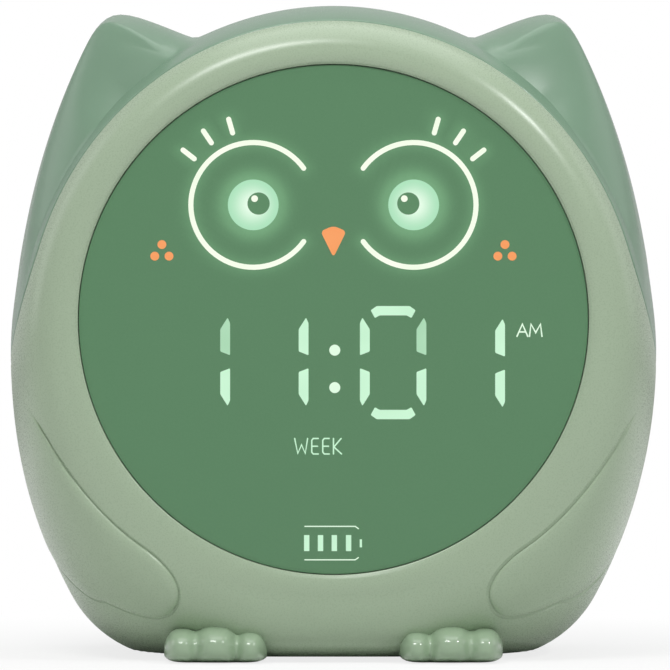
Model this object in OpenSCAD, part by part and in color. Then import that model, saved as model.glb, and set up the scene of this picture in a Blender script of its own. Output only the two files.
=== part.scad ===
// Bedside alarm clock with a night light, in the shape of an owl.
// Two moulded shells hold a round display stack at the front and keys, speaker, socket and cell at the back.
// Millimetres. X runs to the right seen from the front, Y runs from front to back, Z is up from the table.

/* [Body] */
// Depth over the toes and the keys
overall_d = 90; // [84:0.5:100]
// Half the width at the widest level
half_w = 74.8; // [70:0.1:80]
// Height of the widest level above the table
widest_z = 69.2; // [66:0.1:73]
// Rise of the crown above the widest level
crown_h = 80.8; // [76:0.1:88]
// Depth from the front crest to the widest section
front_d = 50; // [46:0.5:53]
// Wall of both shells
wall = 2.2; // [1.6:0.1:2.8]
// Height of the flat underside above the table
base_z = 1; // [0.8:0.1:2]
// Depth of the uncut belly below the flat underside
belly_cut = 2.3; // [1.5:0.1:4]
// Radius of the belly's lower corners
corner_r = 28; // [22:0.5:31]
// Radius of the side arcs below the widest level
side_r = 117.7; // [105:0.1:130]
// Roundness of the front profile, 2 is an ellipse
front_round = 2.2; // [2:0.1:2.6]
// Roundness of the front straight below the lens, where it drops steeply to the base
base_round = 3.4; // [2.2:0.1:4]
// Roundness of the back profile
back_round = 2.8; // [2.2:0.1:3.4]
// Flat back's outline as a share of the widest section
back_share = 0.72; // [0.66:0.01:0.8]

/* [Ears] */
// Radius of the outer flank arc of an ear
flank_r = 162; // [140:1:180]
// Flank arc inside the widest outline
flank_in = 0.9; // [0.5:0.1:1.5]
// Distance of the ear's inner edge from the centre of the widest level
ear_edge = 55.3; // [54:0.1:57]
// Tilt of the ear's inner edge from level
ear_tilt = 22.5; // [20:0.1:25]
// Sharpness of the ear tip
ear_sharp = 22.8; // [16:0.1:30]
// Distance of the ridge between an ear's face and its top from the centre of the widest level
ridge_edge = 42.2; // [41:0.1:43.5]
// Tilt of the ridge from level
ridge_tilt = 29.4; // [28:0.1:31]
// Front crest to the foot of an ear's face
ear_start = 17; // [15:0.5:20]
// Front crest to the foot of the face's lower end
flank_start = 13; // [11:0.5:15]
// Depth the face takes for each millimetre it rises
face_lean = 0.9; // [0.7:0.05:1.2]
// Depth of the rounding at the lower end of the face
flank_round = 6; // [4:0.5:10]
// Depth of the sloping top behind the ridge
ear_top_d = 24; // [18:0.5:28]
// Depth over which the back face of an ear falls
ear_fall_d = 24; // [16:0.5:30]
// Front crest to the end of the ears
ear_end = 79; // [72:0.5:84]

/* [Seam] */
// Front crest to the seam over the crown
seam_top = 6; // [5.5:0.5:8]
// Front crest to the seam at the base
seam_low = 54; // [50:0.5:58]
// Height at which the seam leaves the crown line
seam_high_z = 90; // [86:0.5:96]
// Height of the hood's lower tip
seam_tip_z = 67; // [64:0.5:70]
// Radius of the seam's lower turn
seam_turn = 9; // [5:0.5:12]
// Width of the seam's shadow gap
seam_gap = 0.3; // [0.2:0.05:0.5]
// Reach of the lap lip behind the seam
lip_reach = 1.8; // [1.2:0.1:2.6]

/* [Lens] */
// Radius of the lens opening
lens_r = 57.2; // [54:0.1:59]
// Height of the lens centre
lens_z = 77.3; // [75:0.1:79]
// Lens thickness
lens_t = 2; // [1.5:0.1:3]
// Lens front behind the front crest
lens_sink = 1.2; // [0.6:0.1:2]
// Play around the lens
lens_play = 0.3; // [0.15:0.05:0.5]
// Height of the rounded rim over the lens edge
rim_roll = 1.6; // [1:0.1:2.6]
// Thickness of the adhesive tape
tape_t = 0.2; // [0.1:0.05:0.4]
// Width of the ledge behind the lens
ledge_w = 3.4; // [2.5:0.1:4.5]
// Thickness of the ledge
ledge_t = 2; // [1.5:0.1:3]

/* [Display] */
// Depth of the light box
box_d = 8; // [6:0.5:10]
// Thickness of the diffuser sheet
diffuser_t = 0.5; // [0.3:0.1:0.8]
// Height of a digit
digit_h = 25.4; // [22:0.1:28]
// Width of a digit
digit_w = 14.8; // [12:0.1:16]
// Width of a digit's stroke
stroke_w = 2.3; // [1.6:0.1:2.8]
// Web between the wells of a digit
well_web = 0.5; // [0.4:0.05:0.8]
// Pitch of the two digits of a pair
digit_pitch = 17.6; // [16.5:0.1:19]
// Centre of the inner digits from the middle
digit_in_x = 13.25; // [12:0.05:15]
// Height of the digits' centre
digit_z = 67.6; // [64:0.1:71]
// Height of the eyes' centre
eye_z = 103; // [100:0.1:105]
// Eyes from the middle
eye_x = 18; // [17:0.1:20]
// Radius of an eye's well
eye_r = 6; // [4:0.1:7]
// Radius of the lit ring round an eye
disc_r = 14; // [12:0.1:15]
// Thickness of the circuit boards
board_t = 1.6; // [1:0.1:2]

/* [Keys] */
// Radius of a key
key_r = 4.5; // [3.6:0.1:5]
// Pitch of the keys
key_pitch = 14; // [13:0.5:15]
// Height of the key row
key_z = 104; // [101:0.5:107]
// Keys stand proud of the back by this much
key_proud = 1.6; // [1.2:0.1:2.4]
// Travel of a key
key_travel = 0.8; // [0.4:0.1:1]
// Play around a key
key_play = 0.3; // [0.2:0.05:0.5]

/* [Feet] */
// Reach of the toes in front of the front crest
toe_reach = 3; // [2:0.1:5]
// Centre of a foot from the middle
foot_x = 26.5; // [22:0.1:30]
// Width of a foot over the toes
foot_w = 23.6; // [20:0.1:25]
// Height of the middle toe
toe_h = 8.4; // [7:0.05:9]
// Length of a foot
foot_l = 30; // [24:0.5:34]
// Gap between a foot and the belly
foot_gap = 0.2; // [0.1:0.05:0.5]
// Radius of a foot's peg
peg_r = 2.5; // [2:0.1:3.2]
// Radius of a rubber pad
pad_r = 5; // [4:0.1:6]
// Depth of a rubber pad's recess
pad_sink = 0.4; // [0.2:0.05:0.8]

/* [Inside] */
// Radius of the speaker
speaker_r = 18; // [15:0.5:18]
// Height of the speaker's centre
speaker_z = 62; // [60:0.5:64]
// Radius of the cell
cell_r = 9.15; // [8:0.05:9.2]
// Length of the cell
cell_l = 65; // [60:0.5:66]
// Width of the main board
main_w = 72; // [70:1:76]
// Height of the main board
main_h = 28; // [26:0.5:29]
// Width of the lamp board
lamp_w = 52; // [48:1:56]
// Height of the lamp board
lamp_h = 11; // [10:0.5:12]
// Height of the lamp board's centre
lamp_z = 128; // [126:0.5:129]
// Width of the socket board
io_w = 48; // [46:0.5:50]
// Height of the socket board
io_z = 30; // [29:0.5:32]
// Socket from the middle
socket_x = -10; // [-14:0.5:-8]
// Slide switch from the middle
switch_x = 10; // [8:0.5:14]
// Travel of the slide switch
switch_travel = 2.5; // [1.5:0.1:3]

/* [Hidden] */

shell_front_col = "#a3b69c";
shell_rear_col = "#7f9f87";
lens_col = "#5f8b64";
foot_col = "#9db598";
board_col = "#2f6b45";
metal_col = "#b9bcbe";
fine = 48;

// Stations in depth
crest_y = -overall_d / 2 + toe_reach;
back_y = overall_d / 2 - key_proud;
mid_y = crest_y + front_d;
back_d = back_y - mid_y;
inner_y = back_y - wall;

// Belly outline below the widest level: side arc, corner arc, uncut flat
low_h = widest_z - base_z + belly_cut;
side_k = side_r - half_w;
corner_h = low_h - corner_r;
corner_x = sqrt(pow(side_r - corner_r, 2) - corner_h * corner_h) - side_k;
corner_turn = atan2(corner_h, corner_x + side_k);
flank_k = flank_r - half_w + flank_in;
ear_blend = 0.8;
face_round = 2;
// Turns between which the face's lower end changes into the face
flank_turn = 40;
face_turn = 52;
// Turns below the widest level between which the front changes to its steep drop to the base
base_from = 57;
base_full = 80;
crest_share = 0.25;
roll_turn = 20;

// Columns around the body: close together at the corners, the seam's turn and the ears
half_turns = concat([-90, -84, -78, -72], [for (a = [-66:3:-36]) a], [-30, -24, -18],
                    [for (a = [-12:2:18]) a], [22, 27], [for (a = [31:3:76]) a], [83]);
turns = concat(half_turns, [90], [for (i = [len(half_turns) - 1:-1:1]) 180 - half_turns[i]]);

function ramp(t) = t <= 0 ? 0 : t >= 1 ? 1 : t * t * (3 - 2 * t);
function arc_ray(k, r, a) = sqrt(pow(k * cos(a), 2) + r * r - k * k) - k * abs(cos(a));
function crown_ray(a, d) = 1 / norm([cos(a) / (half_w - d), sin(a) / (crown_h - d)]);
function corner_ray(a, d) =
    let (along = corner_x * abs(cos(a)) + corner_h * abs(sin(a)))
    along + sqrt(max(0, along * along - pow(corner_x, 2) - pow(corner_h, 2) + pow(corner_r - d, 2)));
function below(a) = asin(-sin(a));
function side_end(d) = atan2(corner_h + (corner_r - d) * sin(corner_turn),
                             corner_x + (corner_r - d) * cos(corner_turn));
function low_ray(a, d) =
    below(a) < side_end(d) ? arc_ray(side_k, side_r - d, a)
    : below(a) < atan2(low_h - d, corner_x) ? corner_ray(a, d)
    : (low_h - d) / abs(sin(a));
// Ray from the centre of the widest level to its outline, moved inwards by d
function widest_ray(a, d) = sin(a) >= 0 ? crown_ray(a, d) : low_ray(a, d);
function lens_ray(a) =
    let (h = lens_z - widest_z)
    h * sin(a) + sqrt(lens_r * lens_r - pow(h * cos(a), 2));

// Ears: a flank arc and a tilted straight edge, blended at the tip and into the crown
function edge_ray(a, edge, tilt) = edge / max(0.05, cos(tilt) * sin(a) - sin(tilt) * abs(cos(a)));
function ear_ray(a, d, edge, tilt) =
    let (flank = arc_ray(flank_k, flank_r - d, a), line = edge_ray(a, edge - d, tilt))
    pow(pow(flank, -ear_sharp) + pow(line, -ear_sharp), -1 / ear_sharp);
function upward(a) = asin(sin(a));
function ear_height(a, d, edge, tilt) =
    let (rise = ear_ray(a, d, edge, tilt) - crown_ray(a, d))
    sin(a) <= 0 ? 0 : (rise + norm([rise, ear_blend])) / 2 * ramp((upward(a) - 8) / 10);
function outline_height(a, d) = ear_height(a, d, ear_edge, ear_tilt);
function ridge_height(a, d) = min(outline_height(a, d), ear_height(a, d, ridge_edge, ridge_tilt));
function mix(a, b, t) = a + (b - a) * t;
function portion(t) = min(1, max(0, t));
function face_share(a) = ramp((upward(a) - flank_turn) / (face_turn - flank_turn));
function rise_from(a, d) = crest_y + d + mix(flank_start, ear_start, face_share(a));
function rise_run(a, d) = face_lean * ridge_height(a, d) + mix(flank_round, face_round, face_share(a));
// Rise of an ear at depth y: leaning face up to the ridge, top that slopes up behind it, fall at the back
function ear_rise(a, y, d) =
    let (h = outline_height(a, d), deep = y - rise_from(a, d))
    h <= 0 || deep <= 0 ? 0
    : let (ridge = ridge_height(a, d), run = rise_run(a, d), ahead = crest_y + ear_end - d - y,
           face = 1 - pow(1 - portion(deep / run), 1.5),
           top = 1 - pow(1 - portion((deep - run / 2) / ear_top_d), 2),
           fall = 1 - pow(1 - portion(ahead / ear_fall_d), 1.6))
    (ridge * face + (h - ridge) * top) * fall;

// Depth and spread at station q: below 0 the lens rim, 0 the crest, 90 the widest section, 180 the back
function front_power(a) =
    2 / mix(front_round, base_round, ramp((below(a) - base_from) / (base_full - base_from)));
function station_y(a, q, d) =
    q < 0 ? crest_y + d + rim_roll * pow(q / roll_turn, 2)
    : q <= 90 ? mid_y - (front_d - d) * pow(cos(q), front_power(a))
    : mid_y + (back_d - d) * pow(sin(q - 90), 2 / back_round);
function station_ray(a, q, d) =
    let (wide = widest_ray(a, d), lens = lens_ray(a))
    q < 0 ? lens + (wide - lens) * crest_share * (1 + q / roll_turn)
    : q <= 90 ? lens + (wide - lens) * (crest_share + (1 - crest_share) * pow(sin(q), front_power(a)))
    : wide * (back_share + (1 - back_share) * pow(max(0, cos(q - 90)), 2 / back_round));
function body_point(a, q, d) =
    let (y = station_y(a, q, d), r = station_ray(a, q, d) + ear_rise(a, y, d),
         z = widest_z + r * sin(a))
    [r * cos(a), y, d > 0 ? max(z, base_z + d) : z];

// Depth of the outer back surface behind the point (x, z) moved out by reach
function back_surface(x, z, reach) =
    let (ray = widest_ray(atan2(z - widest_z, x), 0), share = (norm([x, z - widest_z]) + reach) / ray,
         w = max(0, share - back_share) / (1 - back_share))
    mid_y + back_d * pow(1 - pow(w, back_round), 1 / back_round);

// Seam in side view: straight down from the crown, a quarter ellipse to the hood's tip, then a turn down
seam_top_y = crest_y + seam_top;
seam_low_y = crest_y + seam_low;
function seam_y(z) =
    z >= seam_high_z ? seam_top_y
    : z >= seam_tip_z ?
        seam_low_y - seam_turn + (seam_top_y - seam_low_y + seam_turn)
        * sqrt(1 - pow((seam_high_z - z) / (seam_high_z - seam_tip_z), 2))
    : z >= seam_tip_z - seam_turn ?
        seam_low_y - seam_turn + sqrt(pow(seam_turn, 2) - pow(z - seam_tip_z + seam_turn, 2))
    : seam_low_y;
// Station at which column a meets the seam, moved back by shift
function seam_q(a, d, shift, low = 5, high = 175, steps = 16) =
    let (q = (low + high) / 2, p = body_point(a, q, d))
    steps == 0 ? q
    : p[1] - seam_y(p[2]) < shift ? seam_q(a, d, shift, q, high, steps - 1)
    : seam_q(a, d, shift, low, q, steps - 1);

// Closed solid over a list of equal rings: each end is a fan to its pole, and without poles it is a tube
module skin(rings, poles = []) {
    n = len(rings[0]);
    m = len(rings);
    tube = len(poles) == 0;
    last = tube ? m - 1 : m - 2;
    sides = [for (j = [0:last], i = [0:n - 1])
        let (p = j * n + i, q = j * n + (i + 1) % n, r = (p + n) % (n * m), s = (q + n) % (n * m))
        each [[p, q, s], [p, s, r]]];
    ends = tube ? [] : [for (i = [0:n - 1])
        let (p = i, q = (i + 1) % n, o = (m - 1) * n)
        each [[q, p, n * m], [o + p, o + q, n * m + 1]]];
    polyhedron(concat([for (ring = rings) each ring], poles), concat(sides, ends));
}

// Slab of the body's surface from a depth out to a height, for what is raised on it or seated against it
module slab(arcs, stations, deep, height) {
    n = len(arcs);
    m = len(stations);
    k = n * m;
    points = concat([for (q = stations, a = arcs) body_point(a, q, -height(a, q))],
                    [for (q = stations, a = arcs) body_point(a, q, deep)]);
    top = [for (j = [0:m - 2], i = [0:n - 2])
        let (p = j * n + i) each [[p, p + 1, p + n + 1], [p, p + n + 1, p + n]]];
    bottom = [for (f = top) [f[2] + k, f[1] + k, f[0] + k]];
    rim = concat([for (i = [0:n - 1]) i], [for (j = [1:m - 1]) j * n + n - 1],
                 [for (i = [n - 2:-1:0]) (m - 1) * n + i], [for (j = [m - 2:-1:1]) j * n]);
    walls = [for (i = [0:len(rim) - 1])
        let (p = rim[i], q = rim[(i + 1) % len(rim)]) each [[q, p, p + k], [q, p + k, q + k]]];
    polyhedron(points, concat(top, bottom, walls));
}

// Cylinder along Y from y0 to y1
module rod(r, y0, y1, x = 0, z = 0) {
    translate([x, y1, z]) rotate([90, 0, 0]) cylinder(r = r, h = y1 - y0, $fn = fine);
}
// Plate along Y from y0 to y1 with its outline given in X and Z
module plate(y0, y1) {
    translate([0, y1, 0]) rotate([90, 0, 0]) linear_extrude(y1 - y0) children();
}
module mirrored() {
    children();
    mirror([1, 0, 0]) children();
}

// ---------------------------------------------------------------- shells
ledge_y = crest_y + lens_sink + lens_t + tape_t;
ledge_r = lens_r - ledge_w;
boss_turns = [60, 120, 232, 308];
boss_r = 3;
boss_ring = lens_r - 0.4;
boss_l = 5;
box_screw_r = 1;
box_flange_y = ledge_y + ledge_t + boss_l - 2;
post_ring = lens_r + 0.8;
post_xz = [for (t = [31, 149, 217, 323]) [post_ring * cos(t), lens_z + post_ring * sin(t)]];
post_r = 4.2;
post_y = -4;
screw_r = 1.45;
head_r = 2.8;
head_y = post_y + 6;
peg_y = crest_y + 23;
seam_cut = seam_gap / 2;
lip_d = wall / 2 + 0.1;
lip_play = 0.2;

// Stations from the seam to the back with shares n of rows before, on and behind the ear's face
function station_at(y, d) = acos(pow(portion((mid_y - y) / (front_d - d)), front_round / 2));
function back_stations(a, d, q0, n) =
    let (q1 = max(q0 + 1, station_at(rise_from(a, d), d)),
         face = [for (j = [1:n[1]])
             max(q1 + j, station_at(rise_from(a, d) + rise_run(a, d) * sin(90 * j / n[1]), d))],
         q2 = face[n[1] - 1])
    concat([for (j = [0:n[0]]) mix(q0, q1, j / n[0])], face, [for (j = [1:n[2]]) mix(q2, 180, j / n[2])]);
function back_rings(d, shift, n) =
    let (columns = [for (a = turns) back_stations(a, d, seam_q(a, d, shift), n)])
    [for (j = [0:len(columns[0]) - 1]) [for (i = [0:len(turns) - 1]) body_point(turns[i], columns[i][j], d)]];
// Rings at depth d from station q0 to the seam, with the seam moved back by shift
function rings_to_seam(q0, d, shift, n) =
    let (ends = [for (a = turns) seam_q(a, d, shift)])
    [for (j = [0:n]) [for (i = [0:len(turns) - 1]) body_point(turns[i], q0 + (ends[i] - q0) * j / n, d)]];
function seam_ring(d, shift) = [for (a = turns) body_point(a, seam_q(a, d, shift), d)];
function reversed(list) = [for (i = [len(list) - 1:-1:0]) list[i]];

// Wing: inner edge and lower edge as curves, the rest lies round the side
wing_h = 1.2;
wing_top = [72, 61];
wing_tip = [36, 14];
wing_out = [66, 22];
function bend(p0, p1, p2, p3, n) = [for (i = [0:n]) let (t = i / n)
    pow(1 - t, 3) * p0 + 3 * t * pow(1 - t, 2) * p1 + 3 * t * t * (1 - t) * p2 + pow(t, 3) * p3];
wing_outline = concat(
    bend(wing_top, [66, 48], [55, 33], [44, 26], 8),
    bend([44, 26], [37, 21], [34, 17], wing_tip, 5),
    bend(wing_tip, [38, 8], [46, 11], [53, 14], 5),
    bend([53, 14], [58, 14], [63, 18], wing_out, 4),
    [[80, 30], [80, 61]]);

// The wing grows out of the shell below its point, and sinks back into it round the side
wing_root = 0.3;
wing_height = function (a, q)
    (wing_h + wing_root) * ramp((-a - 4) / 24) * (1 - 0.75 * ramp((q - 40) / 40)) - wing_root;
module wing() {
    intersection() {
        slab([for (a = [-66:4:-2]) a], [for (q = [0:9:90]) q], wall / 2, wing_height);
        plate(crest_y - 1, mid_y - 2) polygon(wing_outline);
    }
}

module front_wall() {
    difference() {
        union() {
            skin(concat(
                rings_to_seam(-roll_turn, 0, -seam_cut, 13),
                [seam_ring(lip_d, -seam_cut), seam_ring(lip_d, lip_reach)],
                reversed(rings_to_seam(-roll_turn, wall, lip_reach, 6))));
            mirrored() wing();
        }
        translate([-100, -100, base_z - 100]) cube([200, 200, 100]);
        rod(lens_r + lens_play, crest_y - 5, ledge_y, z = lens_z);
    }
}
module front_shell() {
    color(shell_front_col)
    difference() {
        union() {
            front_wall();
            plate(ledge_y, ledge_y + ledge_t)
                translate([0, lens_z]) circle(r = lens_r + lens_play + 1.8, $fn = fine);
            for (p = box_screw_pos)
                rod(boss_r, ledge_y, box_flange_y, x = p[0], z = p[1]);
            for (p = post_xz)
                rod(post_r - 0.8, ledge_y, post_y - 0.05, x = p[0], z = p[1]);
        }
        rod(ledge_r, crest_y, back_y, z = lens_z);
        for (p = box_screw_pos)
            rod(box_screw_r - 0.15, ledge_y + 1, back_y, x = p[0], z = p[1]);
        for (p = post_xz)
            rod(screw_r - 0.2, post_y - 14, back_y, x = p[0], z = p[1]);
        for (x = [-foot_x, foot_x])
            translate([x, peg_y, 0]) cylinder(r = peg_r + 0.1, h = 10, $fn = fine);
    }
}

grille_pitch = 4.6;
grille_r = 1.15;
module rear_wall() {
    difference() {
        skin(concat(
            reversed(back_rings(wall, lip_reach + seam_gap, [1, 2, 3])),
            [seam_ring(lip_d - lip_play, lip_reach + seam_gap), seam_ring(lip_d - lip_play, seam_cut)],
            back_rings(0, seam_cut, [3, 5, 7])), [[0, inner_y, widest_z], [0, back_y, widest_z]]);
        translate([-100, -100, base_z - 100]) cube([200, 200, 100]);
    }
}
board_post_xz = [for (x = [-1, 1], z = [-1, 1]) [x * (main_w / 2 - 5), key_z + z * (main_h / 2 - 4.5)]];
lamp_post_xz = [for (x = [-1, 1]) [x * (lamp_w / 2 - 6), lamp_z]];
speaker_post_x = speaker_r + 3.2;
speaker_post_xz = [for (x = [-1, 1]) [x * speaker_post_x, speaker_z]];
small_post_r = 2.6;
pilot_r = 0.8;
flange_gap = 0.1;
key_flange_t = 1;
key_end_y = inner_y - flange_gap - key_flange_t - 1.5;
tact_h = 3.5;
board_y = key_end_y - 1.9 - tact_h;
lamp_y = inner_y - 15.6;
speaker_flange_t = 1.2;
slot_play = 0.25;
socket_w = 8.94;
socket_h = 3.2;
socket_l = 7.6;
socket_y = back_y - 0.8;
knob_w = 2;
knob_h = 1.8;
switch_z = io_z + board_t + 2;
shelf_x = io_w / 2 - 5;
shelf_w = 5;
shelf_d = 10;
tab_x = cell_l / 2 + 8.5;
cell_y = inner_y - 16.9;
cell_play = 0.15;
holder_t = 1.3;
holder_z = base_z + wall + 0.5;
holder_r = cell_r + cell_play + holder_t;
cell_z = holder_z + holder_r;
tab_z = base_z + wall + 3.6;
pad_xy = [[32, mid_y + 18], [-32, mid_y + 18]];

module rounded_slot(w, h, r) {
    hull() for (x = [-w / 2 + r, w / 2 - r], z = [-h / 2 + r, h / 2 - r])
        translate([x, z]) circle(r = r, $fn = 24);
}
module rear_shell() {
    color(shell_rear_col)
    difference() {
        union() {
            rear_wall();
            for (p = post_xz)
                rod(post_r, post_y, back_surface(p[0], p[1], post_r) - 0.3, x = p[0], z = p[1]);
            for (p = board_post_xz)
                rod(small_post_r, board_y, inner_y + 0.5, x = p[0], z = p[1]);
            for (p = lamp_post_xz)
                rod(small_post_r, lamp_y, inner_y + 0.5, x = p[0], z = p[1]);
            for (p = speaker_post_xz)
                rod(small_post_r, inner_y - speaker_flange_t, inner_y + 0.5, x = p[0], z = p[1]);
            plate(inner_y - speaker_flange_t, inner_y + 0.5) translate([0, speaker_z]) difference() {
                circle(r = speaker_r + 1.4, $fn = fine);
                circle(r = speaker_r + 0.2, $fn = fine);
            }
            for (x = [-shelf_x, shelf_x])
                translate([x - shelf_w / 2, inner_y - shelf_d, io_z - 3]) cube([shelf_w, shelf_d + 0.5, 3]);
            for (x = [-tab_x, tab_x])
                translate([x, cell_y, base_z + 0.5])
                    cylinder(r = small_post_r, h = tab_z - base_z - 0.5, $fn = fine);
        }
        for (p = post_xz) {
            rod(screw_r + 0.15, post_y - 1, back_y, x = p[0], z = p[1]);
            rod(head_r + 0.4, head_y, back_y + 1, x = p[0], z = p[1]);
        }
        for (p = concat(board_post_xz, lamp_post_xz, speaker_post_xz))
            rod(pilot_r, lamp_y - 1, inner_y, x = p[0], z = p[1]);
        for (x = [-shelf_x, shelf_x])
            translate([x, inner_y - shelf_d / 2, io_z - 2.5]) cylinder(r = pilot_r, h = 5, $fn = fine);
        for (x = [-tab_x, tab_x])
            translate([x, cell_y, base_z + wall]) cylinder(r = pilot_r, h = 10, $fn = fine);
        for (i = [-2:2])
            rod(key_r + key_play, inner_y - 1, back_y + 1, x = i * key_pitch, z = key_z);
        for (u = [-2:2], v = [-2:2])
            if (abs(u + v) <= 2)
                rod(grille_r, inner_y - 1, back_y + 1, x = (u + v / 2) * grille_pitch,
                    z = speaker_z + v * grille_pitch * sin(60));
        plate(inner_y - 1, back_y + 1) translate([socket_x, io_z + board_t + socket_h / 2])
            rounded_slot(socket_w + 2 * slot_play, socket_h + 2 * slot_play, 1.4);
        plate(inner_y - 1, back_y + 1) translate([switch_x, switch_z])
            square([knob_w + switch_travel + 1, knob_h + 1], center = true);
        for (p = pad_xy)
            translate([p[0], p[1], 0]) cylinder(r = pad_r + 0.1, h = base_z + pad_sink, $fn = fine);
    }
}

// ---------------------------------------------------------------- display stack
diffuser_y = crest_y + lens_sink + lens_t;
box_y = diffuser_y + diffuser_t;
box_back = box_y + box_d;
box_r = ledge_r - 0.4;
box_screw_pos = [for (t = boss_turns) [boss_ring * cos(t), lens_z + boss_ring * sin(t)]];
box_flange_t = 1.6;
display_fix = [for (t = [90, 200, 340]) [44 * cos(t), lens_z + 46 * sin(t)]];

module lens() {
    color(lens_col, 0.8)
    translate([0, crest_y + lens_sink, lens_z]) rotate([-90, 0, 0])
    rotate_extrude($fn = 96)
        polygon([[0, 0], [lens_r - 0.4, 0], [lens_r, 0.4], [lens_r, lens_t], [0, lens_t]]);
}
module lens_tape() {
    color("#d8d8d0")
    plate(diffuser_y, ledge_y) translate([0, lens_z]) difference() {
        circle(r = lens_r - 0.4, $fn = 96);
        circle(r = ledge_r + 0.2, $fn = 96);
    }
}
module diffuser_sheet() {
    color("#f2f2ec")
    plate(diffuser_y, box_y) translate([0, lens_z]) circle(r = box_r, $fn = 96);
}

// Wells of the display: seven slots a digit, two dots, three flags and the owl's face
function seg_xz(k) =
    let (x = (digit_w - stroke_w) / 2, z = (digit_h - stroke_w) / 2)
    [[0, z, 0], [x, z / 2, 90], [x, -z / 2, 90], [0, -z, 0], [-x, -z / 2, 90], [-x, z / 2, 90], [0, 0, 0]][k];
function seg_len(k) = (k % 3 == 0 ? digit_w - stroke_w : (digit_h - stroke_w) / 2) - well_web;
module segment(l) {
    h = stroke_w / 2;
    polygon([[-l / 2, 0], [h - l / 2, h], [l / 2 - h, h], [l / 2, 0], [l / 2 - h, -h], [h - l / 2, -h]]);
}
digit_x = [-digit_in_x - digit_pitch, -digit_in_x, digit_in_x, digit_in_x + digit_pitch];
colon_gap = 8.4;
flags = [[44, 74.8, 6.4, 3.4], [-3.5, 48.9, 11.4, 4.2], [-0.5, 27.2, 12.4, 7.6]];
cheek_x = 38.5;
cheek_z = 92.5;
beak_z = 95;
tuft_turns = [38, 56, 74];
tuft_l = 4.4;
tuft_r = disc_r + 2.2;
line_w = 1.6;
disc_open = 36;
// Lit stroke along an arc of radius r, open for the given turns either side of the middle of the face
module ring_well(r, w, open) {
    difference() {
        circle(r = r + w / 2, $fn = 64);
        circle(r = r - w / 2, $fn = 64);
        polygon([[0, 0], 2 * r * [-cos(open), sin(open)], [-2 * r, 0], 2 * r * [-cos(open), -sin(open)]]);
    }
}
module wells() {
    for (x = digit_x, k = [0:6])
        translate([x + seg_xz(k)[0], digit_z + seg_xz(k)[1]]) rotate(seg_xz(k)[2]) segment(seg_len(k));
    for (s = [-1, 1])
        translate([0, digit_z - 1.4 + s * colon_gap / 2]) circle(r = 1.3, $fn = fine);
    for (f = flags)
        translate([f[0], f[1]]) square([f[2], f[3]], center = true);
    mirrored() {
        translate([eye_x, eye_z]) {
            circle(r = eye_r, $fn = fine);
            ring_well(disc_r, line_w, disc_open);
            for (t = tuft_turns)
                rotate(t) translate([tuft_r, -line_w / 2]) square([tuft_l, line_w]);
        }
        translate([cheek_x, cheek_z]) square([6, 6], center = true);
    }
    translate([0, beak_z]) polygon([[-3.2, 2], [0, 3.6], [3.2, 2], [0, -4.4]]);
}
module light_box() {
    color("#f4f4f0")
    difference() {
        union() {
            rod(box_r, box_y, box_back, z = lens_z);
            for (t = boss_turns)
                plate(box_flange_y, box_flange_y + box_flange_t) translate([0, lens_z]) rotate(t) {
                    translate([boss_ring - 8, -boss_r]) square([8, 2 * boss_r]);
                    translate([boss_ring, 0]) circle(r = boss_r, $fn = fine);
                }
        }
        plate(box_y - 1, box_back + 1) wells();
        for (p = box_screw_pos)
            rod(box_screw_r + 0.1, box_y, box_back, x = p[0], z = p[1]);
        for (p = display_fix)
            rod(pilot_r, box_back - 5, box_back + 1, x = p[0], z = p[1]);
    }
}
module display_board() {
    color(board_col)
    difference() {
        rod(box_r - 1, box_back, box_back + board_t, z = lens_z);
        for (p = display_fix)
            rod(pilot_r + 0.3, box_back - 1, box_back + 3, x = p[0], z = p[1]);
    }
}
led_w = 1.1;
led_t = 0.7;
led_xz = concat(
    [for (x = digit_x, k = [0:6]) [x + seg_xz(k)[0], digit_z + seg_xz(k)[1]]],
    [for (s = [-1, 1]) [0, digit_z - 1.4 + s * colon_gap / 2]],
    [for (f = flags) [f[0], f[1]]],
    [for (s = [-1, 1]) each [[s * eye_x, eye_z], [s * cheek_x, cheek_z]]],
    [for (s = [-1, 1], t = tuft_turns, r = tuft_r + tuft_l / 2)
        [s * (eye_x + r * cos(t)), eye_z + r * sin(t)]],
    [for (s = [-1, 1], t = [-90, 0, 90]) [s * (eye_x + disc_r * cos(t)), eye_z + disc_r * sin(t)]],
    [[0, beak_z]]);
module display_leds() {
    color("#fff3c0")
    for (p = led_xz)
        plate(box_back - led_t, box_back) translate(p) square(led_w, center = true);
}
// Pan screw along Y: head face at y, shank towards dir
module screw(shank_r, shank_l, cap_r, cap_h, dir = -1) {
    rotate([dir * -90, 0, 0]) {
        cylinder(r = shank_r, h = shank_l, $fn = 24);
        translate([0, 0, -cap_h]) cylinder(r1 = cap_r * 0.8, r2 = cap_r, h = cap_h, $fn = 24);
    }
}
module display_screws() {
    color(metal_col)
    for (p = box_screw_pos)
        translate([p[0], box_flange_y + box_flange_t, p[1]]) screw(box_screw_r - 0.15, 5, 2, 1.2);
}

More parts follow.
